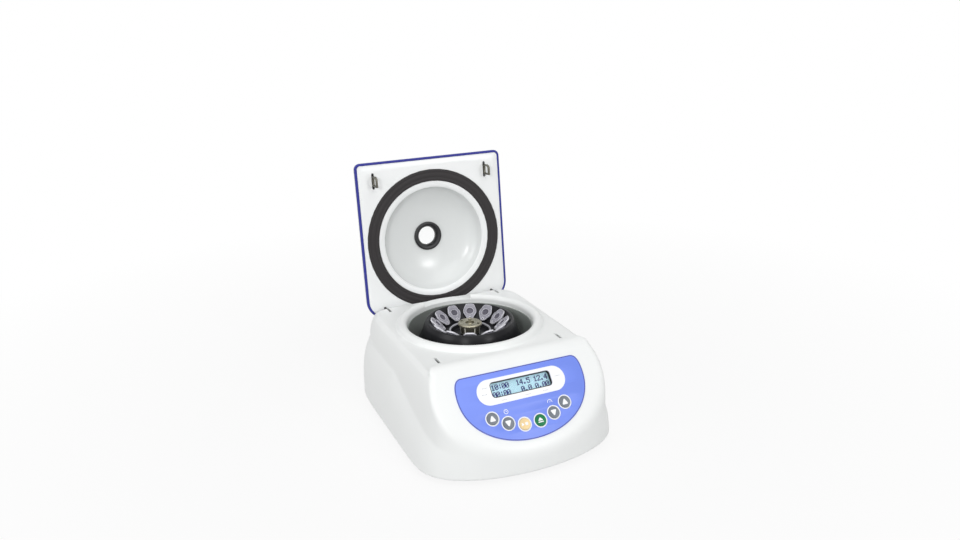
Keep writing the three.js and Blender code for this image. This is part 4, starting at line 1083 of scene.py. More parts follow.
@dataclass
class Rotor:
    """The fixed-angle rotor with its tubes, nut and shaft."""

    count: int = 12
    lean: float = math.radians(40)
    turn: float = math.radians(96.5)
    pitch: float = 31.5
    seat: float = 3.3
    well: float = 5.65
    rim: float = 41.2
    radius: float = 58.4
    bottom: float = -34.5
    top: float = -8.2
    recess: float = -12.0
    bead: Pair = (19.0, 21.0)
    eyelet: float = -7.6
    hex_turn: float = 36.0

    def rotor_profile(self) -> list[Pair]:
        """Half the rotor's section.

        Returns:
            The section's outline.
        """
        rise = math.tan(self.lean)
        seat_r = self.pitch + self.seat * math.sin(self.lean)
        seat_z = -self.seat * math.cos(self.lean)
        rim_z = seat_z + (self.rim - seat_r) * rise
        inner = seat_r - (seat_z - self.top) / rise
        (low, high), crest = self.bead, self.top + 1.1
        corners = [
            (4.15, self.bottom, 0.3), (10.5, self.bottom, 0.5), (12.2, -15.5, 2.0), (inner, -15.5, 2.0),
            (self.rim, -22.5, 2.0), (49.8, -31.5, 2.0), (55.4, self.bottom, 0.8), (58.4, -33.0, 1.2),
            (self.radius, -30.0, 3.0), (56.2, -24.0, 9.0), (49.8, -12.0, 12.0), (45.5, rim_z - 4.3, 4.0),
            (43.4, rim_z, 1.2), (self.rim, rim_z, 0.8), (inner, self.top, 1.5), (high, self.top, 0.3),
            (high - 0.3, crest, 0.5), (low + 0.3, crest, 0.5), (low, self.top, 0.3), (17.6, self.recess, 1.0),
            (4.15, self.recess, 0.3),
        ]
        return rounded(corners, steps=5)

    def around(self, solid: Solid, name: str, finish: Finish) -> bpy.types.Object:
        """Lays leaning copies of a solid, drawn upright at the origin, round the rotor's axis."""
        sizes = {"Count": self.count, "Radius": self.pitch, "Lean": -self.lean, "Turn": self.turn}
        return grown(solid_object(solid, name), copies_group(), Paint=finish.material(), **sizes)

    def wells(self) -> Solid:
        """The slanted wells and the spot faces under the caps.

        Returns:
            What is cut out of the rotor.
        """
        profile = [(0, -37.0), (2.7, -35.6), (self.well, -20.3), (self.well, -self.seat - 0.35)]
        profile += [(self.well + 0.3, -self.seat), (6.9, -self.seat), (6.9, 6), (0, 6)]
        shape = self.around(lathe(profile, 40), "wells", ROTOR)
        solid = Solid([v.co.copy() for v in shape.data.vertices], [tuple(p.vertices) for p in shape.data.polygons])
        bpy.data.objects.remove(shape)
        return solid

    def cap_outline(self) -> list[Pair]:
        """The cap's outline: round, broad at its hinge and narrower at its finger tab."""
        tab = box_outline(2.0, 8.3, -5.0, 5.0, 3.0, 6)
        return hull(circle((0, 0), 6.6, 36) + circle((-6.3, 0), 3.5, 24) + tab)

    def tube(self) -> Solid:
        """One microtube with its cap shut, its cap's top at the origin.

        Returns:
            The tube.
        """
        body = [
            (5.35, -3.2, 0.2), (5.35, -19.8, 1.0), (2.2, -35.2, 1.2), (0.0, -36.4), (0.0, -35.3), (1.6, -34.5, 0.8),
            (4.5, -19.6, 0.6), (4.5, -3.0, 0.2),
        ]
        walls = lathe(rounded(body, steps=3), 28)
        flange = lathe(rounded([(4.45, -1.95), (6.25, -1.95), (6.25, -3.2), (4.45, -3.2)], 0.2, 2), 36)
        lid = plate([self.cap_outline(), circle((self.eyelet, 0), 0.8, 12), circle((0, 0), 3.6, 36)], -1.75, -0.3, 0.2)
        plug = lathe(rounded([(3.65, -1.8), (4.35, -1.8), (4.2, -4.2), (3.65, -4.2)], 0.15, 2), 36)
        return walls.add(flange).add(lid).add(plug)

    def tube_window(self) -> Solid:
        """The thin dished middle of a cap."""
        profile = [(0.0, -1.35), (2.6, -1.35, 0.3), (3.4, -0.9, 0.2), (3.62, -0.9, 0.1), (3.62, -2.2, 0.2), (0.0, -2.2)]
        return lathe(rounded(profile, steps=3), 36)

    def tube_painted_highlights(self) -> Solid:
        """A cap's rims, laid in a lighter finish as painted highlights: its edge, the rim of its dish and the tab's
        eyelet.

        Returns:
            The rims.
        """
        outline = self.cap_outline()
        edge = plate([inset(outline, -0.03), inset(outline, 0.36)], -1.72, -0.22, 0.2)
        dish = lathe(rounded([(3.6, -0.5), (3.95, -0.5), (3.92, -0.1), (3.65, -0.1)], 0.1, 2), 36)
        eyelet = lathe([(0.75, -0.5), (1.3, -0.5), (1.2, -0.18), (0.8, -0.18)], 18).at(self.eyelet, 0)
        return edge.add(dish).add(eyelet)

    def nut(self) -> bpy.types.Object:
        """The nut's turned disc, with a socket and two spanner holes.

        Returns:
            The disc's object.
        """
        corners = [
            (0.0, -2.1), (4.4, -2.1, 0.1), (4.4, 0.0, 0.2), (5.0, 0.4, 0.2), (10.9, 0.4, 0.2), (12.0, -0.2, 0.5),
            (12.0, -1.6, 0.4), (11.2, -2.3, 0.4), (0.0, -2.3),
        ]
        body = solid_object(lathe(rounded(corners, steps=4), 120), "rotor_nut_turned")
        places = (arc((0, 0), 9.0, angle, angle, 1)[0] for angle in (133.6, -45.8))
        return carved(body, [rod(1.5, -1.2, 2.0, steps=24).at(*place) for place in places])

    def nut_stem(self) -> Solid:
        """The nut's six-sided stem, which draws in downwards.

        Returns:
            The stem.
        """
        rows = []
        for radius, height in ((3.2, -2.25), (10.4, -2.25), (10.5, -2.6), (9.0, -11.6), (8.8, -11.9), (3.2, -11.9)):
            six = arc((0, 0), radius, self.hex_turn, self.hex_turn + 300, 5)
            rows.append([Vector((x, y, height)) for x, y in rounded(six, radius * 0.14, 6)])
        return woven(rows)

    def nut_painted_highlights(self) -> Solid:
        """Pale rods along the stem's six corners, painted highlights.

        Returns:
            The rods.
        """
        edges = Solid()
        for k in range(6):
            turn = math.radians(self.hex_turn + 60 * k)
            low = Vector((8.35 * math.cos(turn), 8.35 * math.sin(turn), -11.4))
            high = Vector((9.75 * math.cos(turn), 9.75 * math.sin(turn), -2.9))
            lean = (high - low).to_track_quat("Z", "Y").to_matrix().to_4x4()
            edges.add(rod(0.62, 0, (high - low).length, 0.2, 16).moved(Matrix.Translation(low) @ lean))
        return edges

    def nut_post(self) -> Solid:
        """The locking post in the nut's socket.

        Returns:
            The post.
        """
        profile = [
            (0, -2.1), (2.6, -2.1, 0.2), (2.6, -0.6, 0.3), (1.7, -0.2, 0.5), (1.5, 4.2, 0.3), (1.1, 4.9, 0.4), (0, 5.1),
        ]
        return lathe(rounded(profile), 40)

    def shaft(self) -> Solid:
        """The shaft between the motor and the nut.

        Returns:
            The shaft.
        """
        profile = [
            (0, -52), (4, -52, 0.3), (4, -12.4, 0.2), (3, -12.2, 0.1), (3, -4.4, 0.2), (2.6, -4, 0.1), (0, -4),
        ]
        return lathe(rounded(profile, steps=2), 40)

    def build(self) -> None:
        """Builds the rotor, the tubes, the nut and the shaft, and settles them on the turning body."""
        spinning, steel, (low, high) = "rotor_set", "nut_champagne", self.bead
        body = carved(solid_object(lathe(self.rotor_profile(), 240), "rotor_turned"), [self.wells()])
        # Faces on the bead take the pale finish: polished metal, lightened as a painted highlight.
        for face in body.data.polygons:
            radius = math.hypot(face.center.x, face.center.y)
            face.material_index = int(low < radius < high and face.center.z > self.top - 0.2)
        settle(body, spinning, [ROTOR, POLISHED_AND_PAINTED_HIGHLIGHT], ["rotor"])
        foot, crest = self.top - 0.4, self.top + 1.3
        bead = [(low + 0.1, foot), (high - 0.1, foot), (high - 0.3, crest, 0.6), (low + 0.3, crest, 0.6)]
        lay(lathe(rounded(bead, steps=5), 120), "rotor_bead_painted_highlight", POLISHED_AND_PAINTED_HIGHLIGHT, body=spinning)
        names = [f"tube_{i:02d}" for i in range(1, self.count + 1)]
        for solid, name, finish, nodes in (
            (self.tube(), "microtubes", CLEAR, names),
            # The caps' dishes in a dark finish, painted shade.
            (self.tube_window(), "microtube_dishes_painted_shade", TUBE_DISH_PAINTED_SHADE, ()),
            # The caps' rims in a light finish, painted highlights.
            (self.tube_painted_highlights(), "microtube_painted_highlight_rims", TUBE_PAINTED_HIGHLIGHT, ()),
        ):
            settle(self.around(solid, name, finish), spinning, finish, nodes)
        settle(self.nut(), spinning, CHAMPAGNE, ["rotor_nut"])
        lay(self.nut_stem(), "rotor_nut_stem", CHAMPAGNE, body=spinning, smooth=60)
        lay(self.nut_post(), "rotor_nut_post", CHAMPAGNE, body=spinning)
        lay(self.nut_painted_highlights(), "rotor_nut_painted_highlights", NUT_PAINTED_HIGHLIGHT, body=spinning)
        lay(self.shaft(), "rotor_shaft_turned", BRIGHT_STEEL, ["rotor_shaft"], spinning)


# Keypad and display


@dataclass(frozen=True)
class Key:
    """One key: its node, its body, its place on the panel, its finish and its symbol."""

    node: str
    body: str
    x: float
    t: float
    finish: Finish
    symbol: Symbol


KEYS = (
    Key("key_time_up", "time_up", -35.6, -3.2, KEY_GREY, Symbol.UP),
    Key("key_time_down", "time_down", -22.3, -10.1, KEY_GREY, Symbol.DOWN),
    Key("key_start_stop", "start_stop", -7.7, -14.0, KEY_YELLOW, Symbol.RUN),
    Key("key_open", "open_lid", 7.7, -14.0, KEY_GREEN, Symbol.RELEASE),
    Key("key_speed_down", "speed_down", 22.3, -10.1, KEY_GREY, Symbol.DOWN),
    Key("key_speed_up", "speed_up", 35.6, -3.2, KEY_GREY, Symbol.UP),
)

# Each character's seven rows of five dots, a byte for a row.
GLYPHS = {
    "0": "0e11131519110e", "1": "040c040404040e", "2": "0e11010204081f", "4": "02060a121f0202", "5": "1f101e0101110e",
    ":": "00040400040400", ".": "00000000000c0c", " ": "00000000000000",
}


@dataclass
class Keypad:
    """The blue overlay, its prints, the keys and the display behind its window."""

    film: float = 0.5
    half_width: float = 62.6
    shoulder: float = 20.0
    belly: float = 28.2
    top: float = 37.0
    key_radius: float = 5.15
    hole: float = 5.5
    ring_radius: float = 6.5
    rows: tuple[str, str] = ("10:00  14.5 12.4", "00:00   0.0 0.00")
    digits_start: Pair = (-26.6, 25.7)
    digit_pitch: Pair = (3.48, 6.5)
    dot_pitch: Pair = (0.64, 0.7)
    dot_size: Pair = (0.96, 0.84)
    digits_height: float = -4.44

    def outline(self) -> list[Pair]:
        """The overlay's outline: straight on top, rounded shoulders and a deep belly.

        Returns:
            The outline.
        """
        half = []
        w, shoulder, belly, top = self.half_width, self.shoulder, self.belly, self.top
        for s in np.linspace(0, 1, 31).tolist():
            k = 1 - s
            x = 3 * k * k * s * 34 + 3 * k * s * s * w + s**3 * w
            half.append((x, -belly * k**3 - 3 * belly * k * k * s - 3 * 10 * k * s * s + shoulder * s**3))
        for s in np.linspace(0, 1, 13).tolist()[1:]:
            k = 1 - s
            x = k * k * w + 2 * k * s * w + s * s * (w - 8.5)
            half.append((x, k * k * shoulder + 2 * k * s * top + s * s * top))
        return half + [(-x, y) for x, y in reversed(half[1:])]

    def window(self, grow: float) -> list[Pair]:
        """The display's outline, larger or smaller by some amount."""
        corner = max(3.0 + grow, 1.0)
        return box_outline(-29.5 - grow, 29.5 + grow, 14.0 - grow, 27.7 + grow, corner, 6)

    def put(
        self,
        solid: Solid,
        name: str,
        finish: Finish,
        slot: str = "overlay_blue",
        nodes: Sequence[str] = (),
        body: str = "base",
    ) -> None:
        """Lays a solid drawn on the panel and settles it, as settle says."""
        lay(solid.moved(PANEL.place()), name, finish, nodes, body)

    def printed(self, *outlines: Sequence[Pair], low: float = -0.02, high: float = 0.05) -> Solid:
        """A thin print on the film."""
        return plate(outlines, self.film + low, self.film + high)

    def film_and_prints(self) -> None:
        """The overlay with a painted shadow line round its edge, the pale pill round the display and the rings round
        the keys.
        """
        outer = self.outline()
        holes = [self.window(0.3), *(circle((key.x, key.t), self.hole, 40) for key in KEYS)]
        self.put(plate([outer, *holes], 0.0, self.film, 0.12), "keypad_film", OVERLAY, nodes=["keypad_overlay"])
        # Darker band just inside the film's border, a painted shadow of its recess.
        line = self.printed(inset(outer, 0.02), inset(outer, 0.95), high=0.03)
        self.put(line, "keypad_painted_shadow_line", OVERLAY_PAINTED_SHADOW)
        pill = arc((31.8, 19.6), 11.5, -90, 90, 24) + arc((-31.8, 19.6), 11.5, 90, 270, 24)
        self.put(self.printed(pill, self.window(0.3)), "display_surround", WHITE_PRINT)
        rings, ticks = Solid(), Solid()
        for key in KEYS:
            middle = (key.x, key.t)
            rings.add(self.printed(circle(middle, self.ring_radius, 40), circle(middle, self.hole + 0.02, 40)))
        self.put(rings, "key_rings", WHITE_PRINT)
        self.put(self.clock(-21.5, 0.2).add(self.dial(21.5, 0.2)), "key_marks", WHITE_PRINT)
        for x, t in ((-34.8, 24.0), (-36.6, 18.4), (36.2, 21.2), (-20.1, 10.6), (3.5, 10.6), (21.2, 10.6)):
            for left in (x - 2.4 + 1.35 * i for i in range(4)):
                tick = box_outline(left, left + 0.7, t - 0.35, t + 0.35, 0.3, 3)
                ticks.add(self.printed(tick, low=0, high=0.08))
        self.put(ticks, "display_ticks", GREY_PRINT)

    def clock(self, x: float, t: float) -> Solid:
        """A small clock face.

        Args:
            x: Its middle across the panel.
            t: Its middle up the slope.

        Returns:
            The print.
        """
        face = self.printed(circle((x, t), 2.1, 28), circle((x, t), 1.65, 28))
        face.add(self.printed(box_outline(x - 0.2, x + 0.2, t - 0.2, t + 1.25, 0.1, 2), low=0))
        return face.add(self.printed(box_outline(x - 0.2, x + 1.0, t - 0.2, t + 0.2, 0.1, 2), low=0))

    def dial(self, x: float, t: float) -> Solid:
        """A small speed dial.

        Args:
            x: Its middle across the panel.
            t: Its middle up the slope.

        Returns:
            The print.
        """
        outer = arc((x, t - 0.6), 2.4, -10, 190, 20)
        inner = arc((x, t - 0.6), 1.95, 190, -10, 20)
        hand = [(x - 0.35, t - 0.7), (x + 0.1, t - 0.95), (x + 1.15, t + 0.9)]
        return self.printed(outer + inner).add(self.printed(hand, low=0))

    def symbol(self, symbol: Symbol) -> Solid:
        """What is printed on a key, drawn round the origin of its top.

        Args:
            symbol: Which symbol it is.

        Returns:
            The print.
        """
        outlines = {
            Symbol.UP: [rounded([(-3.1, -2.4), (3.1, -2.4), (0, 3.3)], 0.7, 5)],
            Symbol.DOWN: [rounded([(-3.1, 2.4), (3.1, 2.4), (0, -3.3)], 0.7, 5)],
            Symbol.RUN: [
                rounded([(-3.0, -1.7), (-0.4, 0), (-3.0, 1.7)], 0.3, 3), box_outline(0.5, 3.0, -1.3, 1.3, 0.3, 3),
            ],
            Symbol.RELEASE: [
                rounded([(-2.6, -0.3), (2.6, -0.3), (0, 2.6)], 0.4), box_outline(-2.6, 2.6, -1.9, -1.0, 0.3, 3),
            ],
        }
        mark = Solid()
        for outline in outlines[symbol]:
            mark.add(plate([outline], -0.6, 0.06))
        return mark

    def keys(self) -> None:
        """The six keys, each on its own body."""
        r = self.key_radius
        profile = [
            (0, -6.8), (2.2, -6.8, 0.2), (2.2, -3.9, 0.1), (6.2, -3.9, 0.2), (6.2, -2.95, 0.2), (r, -2.9, 0.1),
            (r, 1.5, 0.3), (4.4, 1.25, 0.8), (2.6, 0.55, 1.0), (0, 0.3),
        ]
        cap = lathe(rounded(profile, shut=False), 56)
        for key in KEYS:
            slot = key.finish.name
            self.put(cap.at(key.x, key.t), f"{key.node}_cap", key.finish, slot, [key.node], key.body)
            mark = self.symbol(key.symbol).at(key.x, key.t, 0.95)
            self.put(mark, f"{key.node}_print", WHITE_PRINT, slot, body=key.body)

    def display(self) -> None:
        """The black frame in the window, the lens, the lit face and its digits."""
        rim = plate([self.window(0.0), self.window(-0.45)], -2.6, self.film - 0.1, 0.1)
        self.put(rim, "display_frame", BLACK, "plastic_black", ["display_bezel"])
        lens = plate([box_outline(-34.3, 34.3, 9.2, 30.0, 1.0)], -4.05, -2.95, 0.15)
        self.put(lens, "display_lens_plate", LENS, "clear_plastic", ["display_window"])
        face = plate([box_outline(-34.3, 34.3, 9.2, 30.0, 0.5)], -8.8, -4.5, 0.1)
        self.put(face, "display_lit_face", CYAN, "display_cyan", ["display_module"])
        (x0, t0), (across, down), (dx, dt) = self.digits_start, self.digit_pitch, self.dot_pitch
        spots = [
            Vector((x0 + column * across + bit * dx, t0 - row * down - line * dt, self.digits_height))
            for row, text in enumerate(self.rows)
            for column, letter in enumerate(text)
            for line, bits in enumerate(bytes.fromhex(GLYPHS[letter]))
            for bit in range(5)
            if bits >> (4 - bit) & 1
        ]
        dots = solid_object(Solid(spots), "display_digits")
        width, height = self.dot_size
        grown(dots, dots_group(), Width=width, Height=height, Paint=INK.material())
        dots.data.transform(PANEL.place())
        settle(dots, "base", INK)

    def build(self) -> None:
        """Builds the keypad and the display."""
        self.film_and_prints()
        self.keys()
        self.display()


# Lid


def upright(x: float) -> Matrix:
    """From a plate drawn in the machine's side view to its place across the machine."""
    return Matrix(((0, 0, 1, x), (1, 0, 0, 0), (0, 1, 0, 0), (0, 0, 0, 1)))


@dataclass
class Lid:
    """The lid: cover, trim, liner with its dome, gasket, sight port, latch loops and hinge arms."""

    angle: float = 96.48
    pivot: Pair = (70.0, -5.3)
    half_width: float = 80.2
    front: float = 86.75
    back: float = 77.3
    front_corner: float = 6.0
    back_corner: float = 20.0
    lift: float = 5.6
    trim_height: float = 3.2
    face: float = 5.8
    thickness: float = 2.2
    crown: float = 35.0
    wall: float = 2.2
    band: float = 78.6
    port_hole: float = 12.9
    dome_radius: float = 54.9

    def place(self) -> Matrix:
        """From the shut lid's frame to the machine's, with the lid open.

        Returns:
            The place.
        """
        pivot = Vector((0, *self.pivot))
        turn = Matrix.Rotation(math.radians(-self.angle), 4, "X")
        return Matrix.Translation(pivot) @ turn @ Matrix.Translation(-pivot)

    def outline(self, cut: float) -> list[Pair]:
        """The lid's outline, drawn in by some amount, with points along its straight sides too.

        Args:
            cut: How far it is drawn in.

        Returns:
            The outline, anticlockwise.
        """
        w, f, b = self.half_width - cut, -self.front + cut, self.back - cut
        rf, rb = self.front_corner - cut, self.back_corner - cut
        corners = [
            arc((w - rf, f + rf), rf, -90, 0, 14), arc((w - rb, b - rb), rb, 0, 90, 14),
            arc((-w + rb, b - rb), rb, 90, 180, 14), arc((-w + rf, f + rf), rf, 180, 270, 14),
        ]
        points: list[Pair] = []
        for corner, following in zip(corners, corners[1:] + corners[:1]):
            start, end = Vector(corner[-1]), Vector(following[0])
            points += corner + [tuple(start.lerp(end, k / 12)) for k in range(1, 12)]
        return points

    def swept(self, profile: Sequence[Pair]) -> list[list[Vector]]:
        """Corners round the lid's outline, for each (draw-in, height) of a profile."""
        return [[Vector((x, y, z)) for x, y in self.outline(cut)] for cut, z in profile]

    def put(
        self, solid: Solid, name: str, finish: Finish, slot: str, nodes: Sequence[str], smooth: float = SMOOTH
    ) -> None:
        """Lays a solid drawn on the shut lid and settles it on the lid, as settle says."""
        lay(solid.moved(self.place()), name, finish, nodes, "lid", smooth)

    def rays(self, cut: float) -> tuple[np.ndarray, np.ndarray]:
        """The outline as distances and directions from the sight port."""
        x, y = np.array(self.outline(cut)).T
        return np.hypot(x, y), np.arctan2(y, x)

    def cover(self) -> Solid:
        """The crowned outer shell with the hole for the sight port.

        Returns:
            The shell.
        """
        base = self.lift + self.trim_height + 0.1
        steps = [0, 0.002, 0.006, 0.012, 0.02, 0.032, 0.048, 0.07, 0.1, 0.14, 0.2, 0.28, 0.38, 0.5, 0.64, 0.8, 1]

        def shell(cut: float, edge: float) -> list[list[Vector]]:
            """Rings of a crowned face.

            Args:
                cut: How far it draws in from the outline.
                edge: How far its foot stands up.

            Returns:
                The rings, from the foot to the port.
            """
            far, turn = self.rays(cut)
            rise = self.crown - base - cut
            made = []
            for step in steps:
                radius = self.port_hole + (far - self.port_hole) * (1 - step)
                part = np.clip(radius / far, 0, 1)
                made.append(ring(radius, turn, base + edge + (rise - edge) * (1 - part**2.6) ** 0.625))
            return made

        foot = self.swept(((0.5, base), (0.15, base + 0.15)))
        return woven([*reversed(shell(self.wall, 0.0)), *foot, *shell(0.0, 0.6)])

    def dome(self, grow: float = 0.0) -> list[Pair]:
        """The dome's section, as radius and depth from the liner's face, made larger by some amount.

        Args:
            grow: How much larger it is.

        Returns:
            The section, from its rim to the port.
        """
        points = [(60.4, 0), (59.4, 0.05), (56.4, 0.35), (55.5, 0.7), (self.dome_radius, 1.5), (54.5, 3.2)]
        points += [(53.7, 6.2), (51.9, 9.4), (48.6, 12.7), (44.6, 15.1), (39.6, 17.3), (33.6, 19.2), (27.0, 20.7)]
        points += [(20.5, 21.7), (15.1, 22.2)]
        return [(r + grow * max(0.0, 1 - d / 26), d + grow * min(1.0, d / 12 + 0.2)) for r, d in points]

    def liner(self) -> bpy.types.Object:
        """The white inner moulding: flat face with a leaning front band, gasket groove and dome.

        Returns:
            The liner's object.
        """
        far, turn = self.rays(2.4)
        neck = self.rays(2.5)[0]
        face, edge, brim = self.face, far - 0.45, 74.05
        line = np.minimum(to_plane(self.band, -np.sin(turn)), brim + (edge - brim) * 0.7)
        lean = 0.3 * np.clip((-far * np.sin(turn) - self.band) / (self.front - 2.4 - self.band), 0, 1)
        rows = [(neck, face + self.thickness), (neck, face + 1.8), (neck, face + 0.95), (far, face + 0.95)]
        rows += [(far - a, face + lean + b) for a, b in ((0, 0.4), (0.12, 0.12), (0.45, 0.0))]
        rows += [(line + (edge - line) * 0.06, face + 0.06 * lean), (line, face)]
        rows += [(brim + (line - brim) * part, face) for part in (0.96, 0.75, 0.5, 0.25, 0.05)]
        groove = ((brim, 0), (73.85, 0.2), (73.85, 2.65), (61.45, 2.65), (61.45, 0.3), (61.2, 0.0))
        behind = (*reversed(self.dome(2.0)[5:-1]), (58.6, 4.4), (74.3, 4.4), (74.3, 2.2))
        rows += [(r, face + d) for r, d in (*groove, *self.dome(), (15.1, 24.2), *behind)]
        moulding = woven([ring(distance, turn, height) for distance, height in rows])
        cuts = []
        for side in Side:
            x = side.value * LATCH_X
            cuts.append(plate([box_outline(x - 1.4, x + 1.4, -76.0, -59.4, 1.3, 6)], 3, 12))
            x = side.value * HINGE_X
            cuts.append(block(x - 1.4, x + 1.4, 64.9, 80, 3, 12))
        return carved(solid_object(moulding, "liner_moulding"), cuts)

    def loop(self, side: Side) -> Solid:
        """A latch loop: a stamped plate with a window, a slanted nose and a foot behind the liner.

        Args:
            side: Which of the two it is.

        Returns:
            The loop.
        """
        x, y0, y1, tip, root = side.value * LATCH_X, -73.2, -62.2, self.face - 13.0, self.face + 3.7
        outline = [(y0 + 2.6, tip, 1.6), (y1, tip, 0.7), (y1, root, 0.2), (y0, root, 0.2), (y0, tip + 3.6, 3.2)]
        left, right, low, high = y0 + 1.9, y1 - 1.9, tip + 1.9, self.face - 1.9
        hole = [(y0 + 3.4, low, 1.0), (right, low, 0.6), (right, high, 0.6), (left, high, 0.8), (left, tip + 4.3, 1.6)]
        sheet = plate([rounded(outline, steps=5), rounded(hole)], -1.05, 1.05, 0.25)
        return sheet.moved(upright(x)).add(block(x - 4, x + 4, y0, y1, self.face + 2.3, root, 0.2))

    def arm(self, side: Side) -> Solid:
        """A hinge arm: a black blade with an eye round the pin.

        Args:
            side: Which of the two it is.

        Returns:
            The arm.
        """
        x, (y, z), root = side.value * HINGE_X, self.pivot, self.face + 3.7
        eye = arc((y, z), 3.6, 180, 360, 20)
        outline = [*eye, (y + 3.6, root), (y - 4.5, root), (y - 4.5, self.face - 3.6)]
        sheet = plate([outline, circle((y, z), 1.95, 24)], -0.8, 0.8, 0.18)
        return sheet.moved(upright(x)).add(block(x - 4, x + 4, y - 4.5, y + 2.25, self.face + 2.3, root, 0.2))

    def gasket(self) -> Solid:
        """The broad black gasket with two shallow lips.

        Returns:
            The gasket.
        """
        low, high, inner, outer = 5.15, 8.4, 61.6, 73.7
        lip = ((0, 0.9), (0.5, 0.25), (1.4, 0), (2.4, 0.02), (3.1, 0.3), (3.8, 0.3), (4.6, 0.05))
        profile = [(inner, high)] + [(inner + r, low + z) for r, z in lip]
        return lathe(profile + [(outer - r, low + z) for r, z in reversed(lip)] + [(outer, high)], 180)

    def port(self) -> Solid:
        """The black grommet round the sight port.

        Returns:
            The grommet.
        """
        f = self.face
        corners = [
            (15.4, f + 20.6, 0.5), (13.6, f + 19.9, 0.8), (11.4, f + 20.6, 0.8), (9.9, f + 23.2, 0.6),
            (9.7, f + 26.9, 0.2), (11.3, f + 26.9, 0.1), (11.3, f + 24.3, 0.1), (14.8, f + 24.3, 0.2),
            (14.8, f + 22.4, 0.1), (15.4, f + 21.9, 0.3),
        ]
        return lathe(rounded(corners), 96)

    def trim(self) -> Solid:
        """The blue edge between the cover and the liner.

        Returns:
            The trim.
        """
        low, high = self.lift, self.lift + self.trim_height
        corners = [(0, low, 0.8), (0, high, 0.5), (2.45, high, 0.2), (2.45, low + 1.3), (2.35, low + 1.2), (2.35, low)]
        return woven(self.swept(rounded(corners, 0.1)))

    def build(self) -> None:
        """Builds the lid's pieces and settles them on the lid."""
        self.put(self.cover(), "lid_crown", SHELL, "shell_white", ["lid_cover"], 40)
        self.put(self.trim(), "lid_blue_edge", TRIM, "trim_blue", ["lid_trim"])
        liner = self.liner()
        # Faces inside the dome take the darker white, painted shade in the hollow.
        for face in liner.data.polygons:
            face.material_index = int(math.hypot(face.center.x, face.center.y) < self.dome_radius)
        liner.data.transform(self.place())
        settle(liner, "lid", [LINER, DOME_PAINTED_SHADE], ["lid_liner"], 30)
        self.put(self.gasket(), "lid_seal", RUBBER, "rubber_black", ["lid_gasket"])
        self.put(self.port(), "port_ring", BLACK, "plastic_black", ["lid_port_grommet"])
        window = rod(11.3, self.face + 27.2, self.face + 28.8, 0.2, 72)
        self.put(window, "port_window", SIGHT, "clear_plastic", ["lid_sight_window"])
        for side in Side:
            tag = side.name.lower()
            self.put(self.loop(side), f"latch_plate_{tag}", DARK_STEEL, "steel_bright", [f"latch_loop_{tag}"])
            self.put(self.arm(side), f"hinge_blade_{tag}", BLACK, "plastic_black", [f"hinge_arm_{tag}"])


# Underside, back and hidden works


@dataclass
class Feet:
    """The rubber feet, each with a softened rim and a shallow tread."""

    radius: float = 9.0
    height: float = 5.0
    ground: float = -89.0
    places: tuple[tuple[str, float, float], ...] = (
        ("front_left", -72, -98), ("front_right", 72, -98), ("back_left", -72, 62), ("back_right", 72, 62),
    )

    def build(self) -> None:
        """Builds the feet and settles them on the base."""
        r, g, top = self.radius, self.ground, self.ground + self.height
        profile = [
            (0, g + 0.5), (3.2, g + 0.5, 0.2), (3.6, g, 0.2), (7.6, g, 0.4), (8.3, g + 0.3, 0.4), (r, g + 4.0, 0.4),
            (r, top, 0.1), (0, top),
        ]
        foot = lathe(rounded(profile, steps=3), 56)
        for place, x, y in self.places:
            lay(foot.at(x, y), f"foot_{place}_rubber", FOOT_RUBBER, [f"foot_{place}"])


